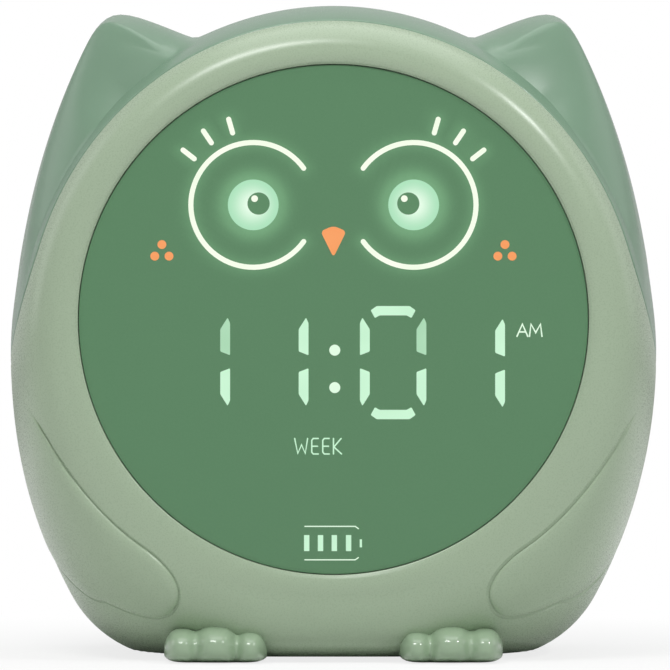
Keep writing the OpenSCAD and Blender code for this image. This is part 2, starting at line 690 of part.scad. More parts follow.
// ---------------------------------------------------------------- keys and main board
key_names = ["mode", "alarm", "minus", "plus", "lamp"];
module key(i) {
    color(shell_rear_col)
    translate([(i - 2) * key_pitch, 0, key_z]) rotate([-90, 0, 0]) rotate_extrude($fn = fine)
        polygon([[0, key_end_y], [2, key_end_y], [2, inner_y - flange_gap - key_flange_t],
                 [key_r + 1, inner_y - flange_gap - key_flange_t], [key_r + 1, inner_y - flange_gap],
                 [key_r, inner_y - flange_gap], [key_r, overall_d / 2 - 0.6], [key_r - 0.6, overall_d / 2],
                 [0, overall_d / 2]]);
}
module plunger(i) {
    color("#2a2a2a")
    rod(1.7, key_end_y - 3.4, key_end_y, x = (i - 2) * key_pitch, z = key_z);
}
module main_board() {
    color(board_col)
    difference() {
        plate(board_y - board_t, board_y) translate([0, key_z]) square([main_w, main_h], center = true);
        for (p = board_post_xz)
            rod(pilot_r + 0.3, board_y - 3, board_y + 1, x = p[0], z = p[1]);
    }
}
// Parts on the front of the main board: across and up from its centre, width, height, thickness
chips = [[-4, 2, 9, 9, 1], [11, 2, 5, 4, 1.4], [-22, -7, 10, 5, 4], [22, -7, 7.5, 5, 4]];
buzzer = [-20, 5, 3, 7];
module board_parts() {
    face_y = board_y - board_t;
    color("#26292c") {
        for (c = chips)
            plate(face_y - c[4], face_y) translate([c[0], key_z + c[1]]) square([c[2], c[3]], center = true);
        rod(buzzer[2], face_y - buzzer[3], face_y, x = buzzer[0], z = key_z + buzzer[1]);
    }
}
module tact_switches() {
    color("#3a3d40")
    for (i = [-2:2])
        difference() {
            plate(board_y, board_y + tact_h) translate([i * key_pitch, key_z]) square([6, 6], center = true);
            rod(1.75, key_end_y - 3.4 - key_travel - 0.2, inner_y, x = i * key_pitch, z = key_z);
        }
}

// ---------------------------------------------------------------- speaker
speaker_back = inner_y - 8;
module speaker_frame() {
    color("#4a4d50")
    translate([0, 0, speaker_z]) rotate([-90, 0, 0]) rotate_extrude($fn = fine)
        polygon([[speaker_r, inner_y], [speaker_r, inner_y - speaker_flange_t],
                 [speaker_r - 1.6, inner_y - speaker_flange_t], [10, speaker_back], [6, speaker_back],
                 [6, speaker_back + 1], [9.4, speaker_back + 1],
                 [speaker_r - 2.8, inner_y - speaker_flange_t], [speaker_r - 2.8, inner_y]]);
}
module speaker_cone() {
    color("#202020")
    translate([0, 0, speaker_z]) rotate([-90, 0, 0]) rotate_extrude($fn = fine)
        polygon([[0, inner_y - 3], [4.6, inner_y - 4.2], [speaker_r - 4.5, inner_y - 1.2],
                 [speaker_r - 2.8, inner_y - 1.2], [speaker_r - 2.8, inner_y - 0.8],
                 [speaker_r - 4.6, inner_y - 0.8], [4.6, inner_y - 3.6], [0, inner_y - 2.4]]);
}
module speaker_magnet() {
    color(metal_col)
    rod(9, speaker_back - 5, speaker_back, z = speaker_z);
}
module speaker_screws() {
    color(metal_col)
    for (p = speaker_post_xz)
        translate([p[0], inner_y - speaker_flange_t, p[1]]) screw(pilot_r - 0.05, 1, 4.6, 1, 1);
}

// ---------------------------------------------------------------- cell, socket, switch and lamp
module battery_holder() {
    color("#2b2d30")
    difference() {
        union() {
            translate([-cell_l / 2 - 2, cell_y, cell_z]) rotate([90, 0, 90]) linear_extrude(cell_l + 4)
            intersection() {
                union() {
                    circle(r = holder_r, $fn = fine);
                    translate([-4, -holder_r]) square([8, 8]);
                }
                translate([-20, -20]) square([40, 22]);
            }
            for (x = [-tab_x, tab_x])
                translate([x - sign(x) - 6, cell_y - 4, tab_z]) cube([12, 8, 1.6]);
        }
        translate([-cell_l / 2 - 0.2, cell_y, cell_z]) rotate([0, 90, 0])
            cylinder(r = cell_r + cell_play, h = cell_l + 0.4, $fn = fine);
        for (x = [-tab_x, tab_x])
            translate([x, cell_y, 0]) cylinder(r = pilot_r + 0.3, h = 20, $fn = fine);
    }
}
module battery_cell() {
    color("#3f6fa8")
    translate([-cell_l / 2, cell_y, cell_z]) rotate([0, 90, 0]) {
        cylinder(r = cell_r, h = cell_l - 1.2, $fn = fine);
        cylinder(r = 3, h = cell_l, $fn = fine);
    }
}
module socket_board() {
    color(board_col)
    difference() {
        translate([-io_w / 2, inner_y - 16, io_z]) cube([io_w, 15.8, board_t]);
        for (x = [-shelf_x, shelf_x])
            translate([x, inner_y - shelf_d / 2, io_z - 1]) cylinder(r = pilot_r + 0.3, h = 4, $fn = fine);
    }
}
module usb_socket() {
    color(metal_col)
    translate([socket_x, 0, io_z + board_t + socket_h / 2]) {
        plate(socket_y - socket_l, socket_y) difference() {
            rounded_slot(socket_w, socket_h, 1.2);
            rounded_slot(socket_w - 0.6, socket_h - 0.6, 0.95);
        }
        plate(socket_y - socket_l, socket_y - socket_l + 0.8)
            rounded_slot(socket_w - 0.4, socket_h - 0.4, 1.1);
        plate(socket_y - socket_l, socket_y - 0.8) square([6.6, 0.7], center = true);
    }
}
switch_top = inner_y - 0.6;
module switch_body() {
    color("#26292c")
    difference() {
        translate([switch_x - 4.3, switch_top - 4, io_z + board_t]) cube([8.6, 4, 4]);
        translate([switch_x, switch_top, switch_z])
            cube([knob_w + switch_travel + 0.6, 3, knob_h + 0.4], center = true);
    }
}
module switch_knob() {
    color("#26292c")
    translate([switch_x - switch_travel / 2 - knob_w / 2, switch_top - 1.3, switch_z - knob_h / 2])
        cube([knob_w, back_y + 1 - switch_top + 1.3, knob_h]);
}
module lamp_board() {
    color(board_col)
    difference() {
        plate(lamp_y - board_t, lamp_y) translate([0, lamp_z]) square([lamp_w, lamp_h], center = true);
        for (p = lamp_post_xz)
            rod(pilot_r + 0.3, lamp_y - 3, lamp_y + 1, x = p[0], z = p[1]);
    }
}
module lamp_leds() {
    face_y = lamp_y - board_t;
    color("#fff3c0")
    for (x = [-12:6:12])
        plate(face_y - 1, face_y) translate([x, lamp_z + 1.5]) square([3, 3], center = true);
}
module board_screws() {
    color(metal_col) {
        for (p = display_fix)
            translate([p[0], box_back + board_t, p[1]]) screw(pilot_r - 0.05, 4, 1.7, 1);
        for (p = board_post_xz)
            translate([p[0], board_y - board_t, p[1]]) screw(pilot_r - 0.05, 5, 1.7, 1, 1);
        for (p = lamp_post_xz)
            translate([p[0], lamp_y - board_t, p[1]]) screw(pilot_r - 0.05, 5, 1.7, 1, 1);
        for (x = [-shelf_x, shelf_x])
            translate([x, inner_y - shelf_d / 2, io_z + board_t]) rotate([-90, 0, 0])
                screw(pilot_r - 0.05, 4, 1.7, 1, 1);
        for (x = [-tab_x, tab_x])
            translate([x, cell_y, tab_z + 1.6]) rotate([-90, 0, 0]) screw(pilot_r - 0.05, 4, 1.7, 1, 1);
    }
}
module housing_screws() {
    color(metal_col)
    for (p = post_xz)
        translate([p[0], head_y, p[1]]) screw(screw_r - 0.25, 18, head_r, 2);
}

// ---------------------------------------------------------------- feet and pads
// Toes across a foot from the inner one: place, half width, height and reach, as shares of the foot's
toes = [[-0.66, 0.345, 0.83, 0.93], [-0.01, 0.52, 1, 1], [0.63, 0.375, 0.9, 0.94]];
toe_floor = 2.2;
toe_mid_y = crest_y + 8;
toe_back = 12;
// Toes that run into one another: share k of the foot at place u, from -1 to 1
function toe(u, t, k) = t[k] * sqrt(max(0, 1 - pow(abs((u - t[0]) / t[1]), 2.7)));
function toe_share(u, k) = pow([for (t = toes) pow(toe(u, t, k), 6)] * [for (t = toes) 1], 1 / 6);
function rounded(c) = sign(c) * pow(abs(c), 0.8);
function toe_ring(u) =
    let (low = toe_floor * (1 - sqrt(1 - pow(abs(u), 7))),
         top = toe_floor + (toe_h - toe_floor) * toe_share(u, 2),
         mid = mix(low, top, 0.42), back = toe_back * sqrt(1 - pow(u, 4)),
         front = (toe_mid_y - crest_y + toe_reach) * pow(toe_share(u, 3), 1.5))
    [for (t = [0:24:336]) let (c = rounded(cos(t)), s = rounded(sin(t)), x = foot_x + u * foot_w / 2)
        [x, toe_mid_y - (c > 0 ? front : back) * c, mid + (s > 0 ? top - mid : mid - low) * s]];
module foot() {
    ends = 0.985;
    rings = [for (u = concat([-ends], [for (i = [-12:12]) i / 13], [ends])) toe_ring(u)];
    color(foot_col)
    difference() {
        union() {
            skin(rings, [for (u = [-ends, ends]) [foot_x + u * foot_w / 2, toe_mid_y, toe_floor]]);
            translate([foot_x - foot_w / 2 + 1.5, toe_mid_y, 0])
                cube([foot_w - 3, foot_l - 11, base_z - 0.05]);
            translate([foot_x, peg_y, 0]) cylinder(r = peg_r, h = base_z + wall + 1, $fn = fine);
        }
        difference() {
            slab([for (a = turns) if (a < -42) a], [for (q = [0:6:72]) q], 8, function (a, q) foot_gap);
            translate([-100, -100, -100]) cube([200, 200, 100 + base_z]);
            translate([foot_x, peg_y, 0]) cylinder(r = peg_r, h = 20, $fn = fine);
        }
        translate([-100, -100, -10]) cube([200, 200, 10]);
    }
}
pad_t = base_z + pad_sink;
module rear_pads() {
    color("#5a5f5b")
    for (p = pad_xy)
        translate([p[0], p[1], 0]) rotate_extrude($fn = fine)
            polygon([[0, 0], [pad_r - 0.4, 0], [pad_r, 0.4], [pad_r, pad_t], [0, pad_t]]);
}

front_shell();
rear_shell();
lens();
lens_tape();
diffuser_sheet();
light_box();
display_board();
display_leds();
display_screws();
main_board();
board_parts();
tact_switches();
for (i = [0:4]) {
    key(i);
    plunger(i);
}
speaker_frame();
speaker_cone();
speaker_magnet();
speaker_screws();
battery_holder();
battery_cell();
socket_board();
usb_socket();
switch_body();
switch_knob();
lamp_board();
lamp_leds();
mirror([1, 0, 0]) foot();  // left_foot
foot();  // right_foot
rear_pads();
housing_screws();
board_screws();
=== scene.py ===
import math

import bmesh
import bpy
from mathutils import Matrix, Vector


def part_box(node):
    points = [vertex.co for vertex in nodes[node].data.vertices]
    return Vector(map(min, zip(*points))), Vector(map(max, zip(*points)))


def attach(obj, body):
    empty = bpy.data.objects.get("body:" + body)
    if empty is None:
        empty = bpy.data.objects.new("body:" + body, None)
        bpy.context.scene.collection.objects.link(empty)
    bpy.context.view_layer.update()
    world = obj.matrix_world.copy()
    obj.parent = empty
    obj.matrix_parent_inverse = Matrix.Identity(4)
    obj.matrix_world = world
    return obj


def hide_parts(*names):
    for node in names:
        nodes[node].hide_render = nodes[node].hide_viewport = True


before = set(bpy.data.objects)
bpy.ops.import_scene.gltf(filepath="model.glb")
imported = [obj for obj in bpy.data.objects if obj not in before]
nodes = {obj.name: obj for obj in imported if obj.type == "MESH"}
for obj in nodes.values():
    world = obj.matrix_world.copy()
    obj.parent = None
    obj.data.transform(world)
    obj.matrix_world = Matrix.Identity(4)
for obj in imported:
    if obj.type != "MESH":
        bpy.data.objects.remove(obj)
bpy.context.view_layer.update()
scene = bpy.context.scene
MM = 0.001


# ---------------------------------------------------------------- camera, lights and table
# A long lens looks straight at the clock's face from table height. The room is plain white to the
# camera. A soft box above, two strip lights in front and two weak boxes behind shade the clock, and
# the white table shows a little of its shadow.
CAMERA_DISTANCE = 1300 * MM
FRAME_WIDTH = 155.2 * MM
AXIS_X = 0.35 * MM
AXIS_Z = 73.8 * MM
SENSOR = 36
FAR_END = 20

camera_data = bpy.data.cameras.new("camera")
camera_data.sensor_width = SENSOR
camera_data.lens = SENSOR * CAMERA_DISTANCE / FRAME_WIDTH
camera_data.clip_end = FAR_END
camera = bpy.data.objects.new("camera", camera_data)
camera.location = (AXIS_X, -CAMERA_DISTANCE, AXIS_Z)
camera.rotation_euler = (math.radians(90), 0, 0)
scene.collection.objects.link(camera)
scene.camera = camera
scene.view_settings.view_transform = "Standard"


def linear(colour):
    """An sRGB hex colour as linear red, green, blue and alpha."""
    parts = [int(colour[i : i + 2], 16) / 255 for i in (1, 3, 5)]
    return [p / 12.92 if p <= 0.04045 else ((p + 0.055) / 1.055) ** 2.4 for p in parts] + [1]


def add(tree, kind, inputs=None, **settings):
    """Adds a shader node, sets its properties, and links or fills the named inputs."""
    node = tree.nodes.new(kind)
    for name, value in settings.items():
        setattr(node, name, value)
    for name, value in (inputs or {}).items():
        if isinstance(value, bpy.types.NodeSocket):
            tree.links.new(value, node.inputs[name])
        else:
            node.inputs[name].default_value = value
    return node


def calc(tree, operation, *values):
    """Result of one operation on numbers and sockets."""
    return add(tree, "ShaderNodeMath", dict(enumerate(values)), operation=operation).outputs[0]


def material(name):
    made = bpy.data.materials.new(name)
    made.use_nodes = True
    made.node_tree.nodes.clear()
    return made, made.node_tree


def seen_by_camera(tree):
    """Is 1 where the camera looks straight or through clear plastic, and 0 for all other light."""
    path = add(tree, "ShaderNodeLightPath").outputs
    return calc(tree, "MAXIMUM", path["Is Camera Ray"], path["Is Transmission Ray"])


# The table is shown white, but for a share of its own shade close to the clock.
SHADOW_NEAR = 70 * MM
SHADOW_FAR = 200 * MM
SHADOW_SHARE = 0.2
FLOOR_REACH = 3

floor_material, tree = material("matte_white_table")
place = add(tree, "ShaderNodeTexCoord").outputs["Object"]
away = add(tree, "ShaderNodeVectorMath", {0: place}, operation="LENGTH").outputs["Value"]
clear = add(tree, "ShaderNodeMapRange", {
    "Value": away, "From Min": SHADOW_NEAR, "From Max": SHADOW_FAR, "To Min": 1 - SHADOW_SHARE,
    "To Max": 1.0}, interpolation_type="SMOOTHSTEP").outputs[0]
shown = calc(tree, "MULTIPLY", seen_by_camera(tree), clear)
board = add(tree, "ShaderNodeBsdfDiffuse", {"Color": linear("#F0F0F0"), "Roughness": 0.5})
white = add(tree, "ShaderNodeEmission", {"Color": linear("#FFFFFF"), "Strength": 1.0})
table = add(tree, "ShaderNodeMixShader", {0: shown, 1: board.outputs[0], 2: white.outputs[0]})
add(tree, "ShaderNodeOutputMaterial", {"Surface": table.outputs[0]})

grid = bmesh.new()
bmesh.ops.create_grid(grid, x_segments=1, y_segments=1, size=FLOOR_REACH)
floor_mesh = bpy.data.meshes.new("floor")
grid.to_mesh(floor_mesh)
grid.free()
floor_mesh.materials.append(floor_material)
floor = bpy.data.objects.new("floor", floor_mesh)
scene.collection.objects.link(floor)

# The room is white to the camera, weaker in reflections, and dim as a source of light.
ROOM_LIGHT = 0.24
MIRROR_SHARE = 0.45

world = bpy.data.worlds.new("studio")
world.use_nodes = True
tree = world.node_tree
tree.nodes.clear()
room = add(tree, "ShaderNodeBackground", {"Color": linear("#FFFFFF"), "Strength": ROOM_LIGHT})
paper = add(tree, "ShaderNodeBackground", {"Color": linear("#FFFFFF"), "Strength": 1.0})
mirrored = add(tree, "ShaderNodeLightPath").outputs["Is Glossy Ray"]
mirrored = calc(tree, "MULTIPLY", mirrored, MIRROR_SHARE)
plain = calc(tree, "MAXIMUM", seen_by_camera(tree), mirrored)
around = add(tree, "ShaderNodeMixShader", {0: plain, 1: room.outputs[0], 2: paper.outputs[0]})
add(tree, "ShaderNodeOutputWorld", {"Surface": around.outputs[0]})
scene.world = world


def soft_box(name, place, aim, size, watts):
    """A rectangular light at a place, turned to the point it aims at. Lengths are in metres."""
    data = bpy.data.lights.new(name, "AREA")
    data.shape = "RECTANGLE"
    data.size, data.size_y = size
    data.energy = watts
    lamp = bpy.data.objects.new(name, data)
    lamp.location = place
    lamp.rotation_euler = (Vector(aim) - Vector(place)).to_track_quat("-Z", "Y").to_euler()
    scene.collection.objects.link(lamp)


soft_box("key_strip", (-0.28, -0.76, 1.0), (0, 0, 0.08), (0.5, 0.16), 5.6)
soft_box("right_strip", (0.72, -0.66, 0.84), (0, 0, 0.08), (0.12, 0.1), 3.5)
soft_box("top_box", (0.05, 0.0, 1.0), (0, 0, 0.1), (1.0, 0.9), 4.3)
soft_box("left_back_box", (-0.8, 0.25, 0.4), (0, 0, 0.08), (0.4, 0.6), 0.6)
soft_box("right_back_box", (0.8, 0.25, 0.4), (0, 0, 0.08), (0.4, 0.6), 0.4)


# ---------------------------------------------------------------- body surface
# The clock's body is one smooth egg-like surface that both shells follow: rays from the centre of
# the widest level, with a belly of arcs, an elliptical crown, and two ears that rise behind the
# front ring. Lengths are in millimetres and turns in degrees.

# The outline from the front, measured from the widest level: crown, side arcs, lower corners.
HALF_W = 74.8
WIDEST_Z = 69.2
CROWN_H = 80.8
LOW_H = 70.5
SIDE_R = 117.7
SIDE_K = SIDE_R - HALF_W
CORNER_R = 28.0
CORNER_H = LOW_H - CORNER_R
CORNER_X = math.sqrt((SIDE_R - CORNER_R) ** 2 - CORNER_H**2) - SIDE_K
CORNER_TURN = math.atan2(CORNER_H, CORNER_X + SIDE_K)
BASE_Z = 1.0
WALL = 2.2

# Depths of the ring's crest, the widest section and the back, and how full the roll between them
# is. Near the base the front is fuller. The flat back takes a share of the outline.
CREST_Y = -42.0
MID_Y = 8.0
BACK_Y = 43.4
FRONT_ROUND = 2.2
BASE_ROUND = 3.4
BASE_FROM = 57.0
BASE_FULL = 80.0
BACK_ROUND = 2.8
BACK_SHARE = 0.72

# The ring round the lens: where its crest lies between lens and outline, how far it rolls back to
# the lens, and how its outer side is eased back.
LENS_R = 57.2
LENS_Z = 77.3
CREST_SHARE = 0.25
ROLL_TURN = 20.0
RIM_ROLL = 1.0
CREST_EASE = 0.7
EASE_FROM = -16
EASE_FULL = 8
EASE_END = 34

# The ears from the front: outer flank, top edge and the ridge between face and top, and how
# sharply they meet. The ears grow out of the crown over a few degrees. The least crossing keeps a
# ray finite that runs along an edge.
FLANK_R = 162.0
FLANK_OUT = 0.9
FLANK_K = FLANK_R - HALF_W + FLANK_OUT
EAR_EDGE = 55.3
EAR_TILT = math.radians(22.5)
RIDGE_EDGE = 42.2
RIDGE_TILT = math.radians(29.4)
EAR_SHARP = 22.8
EAR_BLEND = 0.8
EAR_FROM = 8
EAR_FULL = 18
LEAST_CROSSING = 0.05

# The ears in depth, from the crest back: start of the face on the flank and at the top, its lean,
# then the top behind the ridge and the fall at the back, each with the power of its curve.
FLANK_START = 13.0
FLANK_ROUND = 6.0
EAR_START = 17.0
FACE_ROUND = 1.0
FACE_LEAN = 0.9
FACE_FROM = 40
FACE_FULL = 52
FACE_CURVE = 1.5
EAR_TOP = 24.0
TOP_CURVE = 2
EAR_FALL = 24.0
EAR_END = 79.0
FALL_CURVE = 1.6


def mix(a, b, t):
    return a + (b - a) * t


def portion(t):
    return min(1, max(0, t))


def ramp(x, start, end):
    """Rises smoothly from 0 at start to 1 at end."""
    t = portion((x - start) / (end - start))
    return t * t * (3 - 2 * t)


def arc_ray(k, radius, c):
    """Ray to an arc whose centre lies k beyond the centre, at a turn with cosine c."""
    return math.sqrt((k * c) ** 2 + radius * radius - k * k) - k * c


def crown_ray(c, s, d):
    return 1 / math.hypot(c / (HALF_W - d), s / (CROWN_H - d))


def widest_ray(c, s, d):
    """Ray to the outline, d inside it. c and s are |cos| and sin of the turn."""
    if s >= 0:
        return crown_ray(c, s, d)
    below = math.atan2(-s, c)
    end = math.atan2(CORNER_H + (CORNER_R - d) * math.sin(CORNER_TURN),
                     CORNER_X + (CORNER_R - d) * math.cos(CORNER_TURN))
    if below < end:
        return arc_ray(SIDE_K, SIDE_R - d, c)
    if below < math.atan2(LOW_H - d, CORNER_X):
        along = CORNER_X * c - CORNER_H * s
        reach = along * along - CORNER_X**2 - CORNER_H**2 + (CORNER_R - d) ** 2
        return along + math.sqrt(max(0, reach))
    return (LOW_H - d) / -s


def lens_ray(c, s, radius=LENS_R):
    h = LENS_Z - WIDEST_Z
    return h * s + math.sqrt(radius * radius - (h * c) ** 2)


def ear_height(c, s, d, edge, tilt):
    """Height over the crown of an ear's outline, or of the ridge between its face and its top."""
    if s <= 0:
        return 0
    line = (edge - d) / max(LEAST_CROSSING, math.cos(tilt) * s - math.sin(tilt) * c)
    flank = arc_ray(FLANK_K, FLANK_R - d, c)
    rise = (flank**-EAR_SHARP + line**-EAR_SHARP) ** (-1 / EAR_SHARP) - crown_ray(c, s, d)
    grown = ramp(math.degrees(math.asin(s)), EAR_FROM, EAR_FULL)
    return (rise + math.hypot(rise, EAR_BLEND)) / 2 * grown


def ear_slope(c, s, d):
    """Heights of outline and ridge, and the depths from which and over which the face rises."""
    share = ramp(math.degrees(math.asin(s)), FACE_FROM, FACE_FULL)
    outline = ear_height(c, s, d, EAR_EDGE, EAR_TILT)
    ridge = min(outline, ear_height(c, s, d, RIDGE_EDGE, RIDGE_TILT))
    start = CREST_Y + d + mix(FLANK_START, EAR_START, share)
    return outline, ridge, start, FACE_LEAN * ridge + mix(FLANK_ROUND, FACE_ROUND, share)


def ear_rise(slope, y, d):
    """Rise of the ear at depth y: leaning face, ridge, top that slopes up behind, fall."""
    outline, ridge, start, run = slope
    deep = y - start
    if outline <= 0 or deep <= 0:
        return 0
    face = 1 - (1 - portion(deep / run)) ** FACE_CURVE
    top = 1 - (1 - portion((deep - run / 2) / EAR_TOP)) ** TOP_CURVE
    fall = 1 - (1 - portion((CREST_Y + EAR_END - d - y) / EAR_FALL)) ** FALL_CURVE
    return (ridge * face + (outline - ridge) * top) * fall


def body_point(turn, q, d):
    """Surface point, d inside, at a turn and a station q: 0 crest, 90 widest, 180 back."""
    a, b = math.radians(turn), math.radians(q)
    c, s = abs(math.cos(a)), math.sin(a)
    wide, lens = widest_ray(c, s, d), lens_ray(c, s)
    if q < 0:
        y = CREST_Y + d + RIM_ROLL * (q / ROLL_TURN) ** 2
        r = lens + (wide - lens) * CREST_SHARE * (1 + q / ROLL_TURN)
    elif q <= 90:
        low = ramp(math.degrees(math.asin(-s)), BASE_FROM, BASE_FULL)
        power = 2 / mix(FRONT_ROUND, BASE_ROUND, low)
        y = MID_Y - (MID_Y - CREST_Y - d) * max(0, math.cos(b)) ** power
        r = lens + (wide - lens) * (CREST_SHARE + (1 - CREST_SHARE) * math.sin(b) ** power)
    else:
        power = 2 / BACK_ROUND
        y = MID_Y + (BACK_Y - MID_Y - d) * max(0, -math.cos(b)) ** power
        r = wide * (BACK_SHARE + (1 - BACK_SHARE) * max(0, math.sin(b)) ** power)
    r += ear_rise(ear_slope(c, s, d), y, d)
    y += CREST_EASE * ramp(q, EASE_FROM, EASE_FULL) * ramp(q, EASE_END, EASE_FULL)
    z = WIDEST_Z + r * s
    return Vector((r * math.cos(a), y, max(z, BASE_Z + max(0, d))))


def station_at(y, d):
    """Station on the front half at a depth."""
    share = portion((MID_Y - y) / (MID_Y - CREST_Y - d))
    return math.degrees(math.acos(share ** (FRONT_ROUND / 2)))


def last_station(low, high, halvings, comes_before):
    """Station between low and high up to which comes_before holds, found by halving."""
    for _ in range(halvings):
        q = (low + high) / 2
        if comes_before(q):
            low = q
        else:
            high = q
    return (low + high) / 2


# The seam seen from the side: from the crown down to the hood's tip it is a leaning line and a
# quarter ellipse, then it turns straight down.
SEAM_TOP_Y = CREST_Y + 6
SEAM_LOW_Y = CREST_Y + 54
SEAM_CROWN_Z = 150.0
SEAM_HIGH_Z = 96.0
SEAM_LEAN = 2.8
SEAM_LEAN_CURVE = 0.6
SEAM_TIP_Z = 67.0
SEAM_TURN = 9.0


def seam_y(z):
    """Depth of the seam at height z."""
    if z >= SEAM_HIGH_Z:
        share = portion((SEAM_CROWN_Z - z) / (SEAM_CROWN_Z - SEAM_HIGH_Z))
        return SEAM_TOP_Y + SEAM_LEAN * share**SEAM_LEAN_CURVE
    if z >= SEAM_TIP_Z:
        share = (SEAM_HIGH_Z - z) / (SEAM_HIGH_Z - SEAM_TIP_Z)
        return mix(SEAM_LOW_Y - SEAM_TURN, SEAM_TOP_Y + SEAM_LEAN, math.sqrt(1 - share * share))
    if z >= SEAM_TIP_Z - SEAM_TURN:
        up = z - SEAM_TIP_Z + SEAM_TURN
        return SEAM_LOW_Y - SEAM_TURN + math.sqrt(SEAM_TURN**2 - up**2)
    return SEAM_LOW_Y


def seam_station(turn, d, shift):
    """Station at which the surface d inside crosses the seam moved back by shift."""
    def in_front(q):
        p = body_point(turn, q, d)
        return p.y - seam_y(p.z) < shift

    return last_station(5.0, 175.0, 18, in_front)


COLUMNS = 360
WELD = 1e-7
FLAT_BACK = 0.99999
turns = [-90 + 360 * i / COLUMNS for i in range(COLUMNS)]


def sheet(columns, rows, place):
    """A sheet of quads with its corners at place(column, row), in millimetres."""
    bm = bmesh.new()
    bmesh.ops.create_grid(bm, x_segments=columns, y_segments=rows, size=1)
    for v in bm.verts:
        column, row = round((v.co.x + 1) / 2 * columns), round((v.co.y + 1) / 2 * rows)
        v.co = place(column, row) * MM
    return bm


def mould(section):
    """A closed skin from the section, a list of points of one length, at every turn."""
    paths = [section(turn) for turn in turns]
    bm = sheet(COLUMNS, len(paths[0]) - 1, lambda column, row: paths[column % COLUMNS][row])
    bmesh.ops.remove_doubles(bm, verts=bm.verts, dist=WELD)
    return bm


def mirrored(p, side):
    """The point, or for side -1 its mirror image on the left."""
    return Vector((side * p.x, p.y, p.z))


def join(bm, part):
    """Adds a finished part to a bmesh. The part is used up."""
    mesh = bpy.data.meshes.new("part")
    part.to_mesh(mesh)
    part.free()
    bm.from_mesh(mesh)
    bpy.data.meshes.remove(mesh)


def finish_mesh(bm, name, made_of, sharp=35, flip=True):
    """An object of the bmesh, smooth but for its flat back and edges sharper than the angle."""
    if flip:
        bmesh.ops.recalc_face_normals(bm, faces=bm.faces)
    for face in bm.faces:
        face.smooth = face.normal.y < FLAT_BACK
    for edge in bm.edges:
        joined = len(edge.link_faces) == 2
        edge.smooth = joined and edge.calc_face_angle(0) < math.radians(sharp)
    mesh = bpy.data.meshes.new(name)
    bm.to_mesh(mesh)
    bm.free()
    mesh.materials.append(made_of)
    piece = bpy.data.objects.new(name, mesh)
    scene.collection.objects.link(piece)
    return piece


def cut_away(piece, cutter):
    """A bmesh of what the cutter leaves of the piece. Both objects are used up."""
    boolean = piece.modifiers.new("cut", "BOOLEAN")
    boolean.operation = "DIFFERENCE"
    boolean.solver = "EXACT"
    boolean.object = cutter
    bpy.context.view_layer.update()
    seen = piece.evaluated_get(bpy.context.evaluated_depsgraph_get())
    left = bpy.data.meshes.new_from_object(seen)
    for used in (piece, cutter):
        bpy.data.objects.remove(used)
    bm = bmesh.new()
    bm.from_mesh(left)
    return bm


# ---------------------------------------------------------------- front shell
# Light sage ABS, injection moulded in a spark-eroded tool, so it is matte with a very fine even
# grain. One moulding makes the ring round the lens and the lower body; a lip at its seam laps into
# the rear shell.
SEAM_GAP = 0.3
SEAM_EDGE = 0.4
LIP_DEPTH = 1.2
LIP_REACH = 1.8
LENS_PLAY = 0.15
RIM_EDGE = 0.25
RIM_START = -17
LEDGE_Y = CREST_Y + 3.4
LEDGE_WALL = 2
LEDGE_IN = 3.4
OUTER_ROWS = 72
INNER_ROWS = 14


def noise(tree, size, detail, **more):
    """Noise over the object with grains about size millimetres wide."""
    place = add(tree, "ShaderNodeTexCoord").outputs["Object"]
    inputs = {"Vector": place, "Scale": 1 / (size * MM), "Detail": detail, **more}
    return add(tree, "ShaderNodeTexNoise", inputs).outputs["Fac"]


def blend(tree, share, first, second):
    """A colour between two sRGB colours."""
    inputs = {"Factor": share, "A": linear(first), "B": linear(second)}
    return add(tree, "ShaderNodeMix", inputs, data_type="RGBA").outputs["Result"]


def bumps(tree, height, strength, depth):
    """Surface normals that follow a height of the given depth in millimetres."""
    inputs = {"Height": height, "Strength": strength, "Distance": depth * MM}
    return add(tree, "ShaderNodeBump", inputs).outputs["Normal"]


def cover(tree, inputs):
    """Gives a material one principled surface."""
    skin = add(tree, "ShaderNodeBsdfPrincipled", inputs)
    add(tree, "ShaderNodeOutputMaterial", {"Surface": skin.outputs[0]})


def moulded_plastic(name, colour, tint, grain, roughness, haze):
    """Spark-eroded plastic: an even grain, and a colour that drifts a little over the moulding."""
    made, tree = material(name)
    drift = noise(tree, 60, 2.0)
    speck = noise(tree, grain, 3.0, Roughness=0.6)
    share = calc(tree, "MULTIPLY_ADD", drift, 0.6, -0.05)
    share = calc(tree, "MULTIPLY_ADD", speck, 0.35, share)
    cover(tree, {
        "Base Color": blend(tree, share, colour, tint), "IOR": 1.53,
        "Roughness": calc(tree, "MULTIPLY_ADD", speck, 0.12, roughness - 0.06),
        "Normal": bumps(tree, speck, 0.18, 0.05), "Subsurface Weight": haze,
        "Subsurface Scale": 2 * MM, "Subsurface Radius": (0.8, 1.0, 0.8)})
    return made


sage_abs = moulded_plastic("matte_sage_abs", "#A5B89D", "#9FB298", 0.35, 0.28, 0.0)


def seam_edge(turn, side):
    """Rounded edge of a shell at the seam, in front of it (side -1) or behind it (side 1)."""
    out = []
    for step in (30, 60, 90):
        sink = SEAM_EDGE * (1 - math.cos(math.radians(step)))
        away = SEAM_GAP / 2 + SEAM_EDGE * (1 - math.sin(math.radians(step)))
        out.append(body_point(turn, seam_station(turn, sink, side * away), sink))
    return out


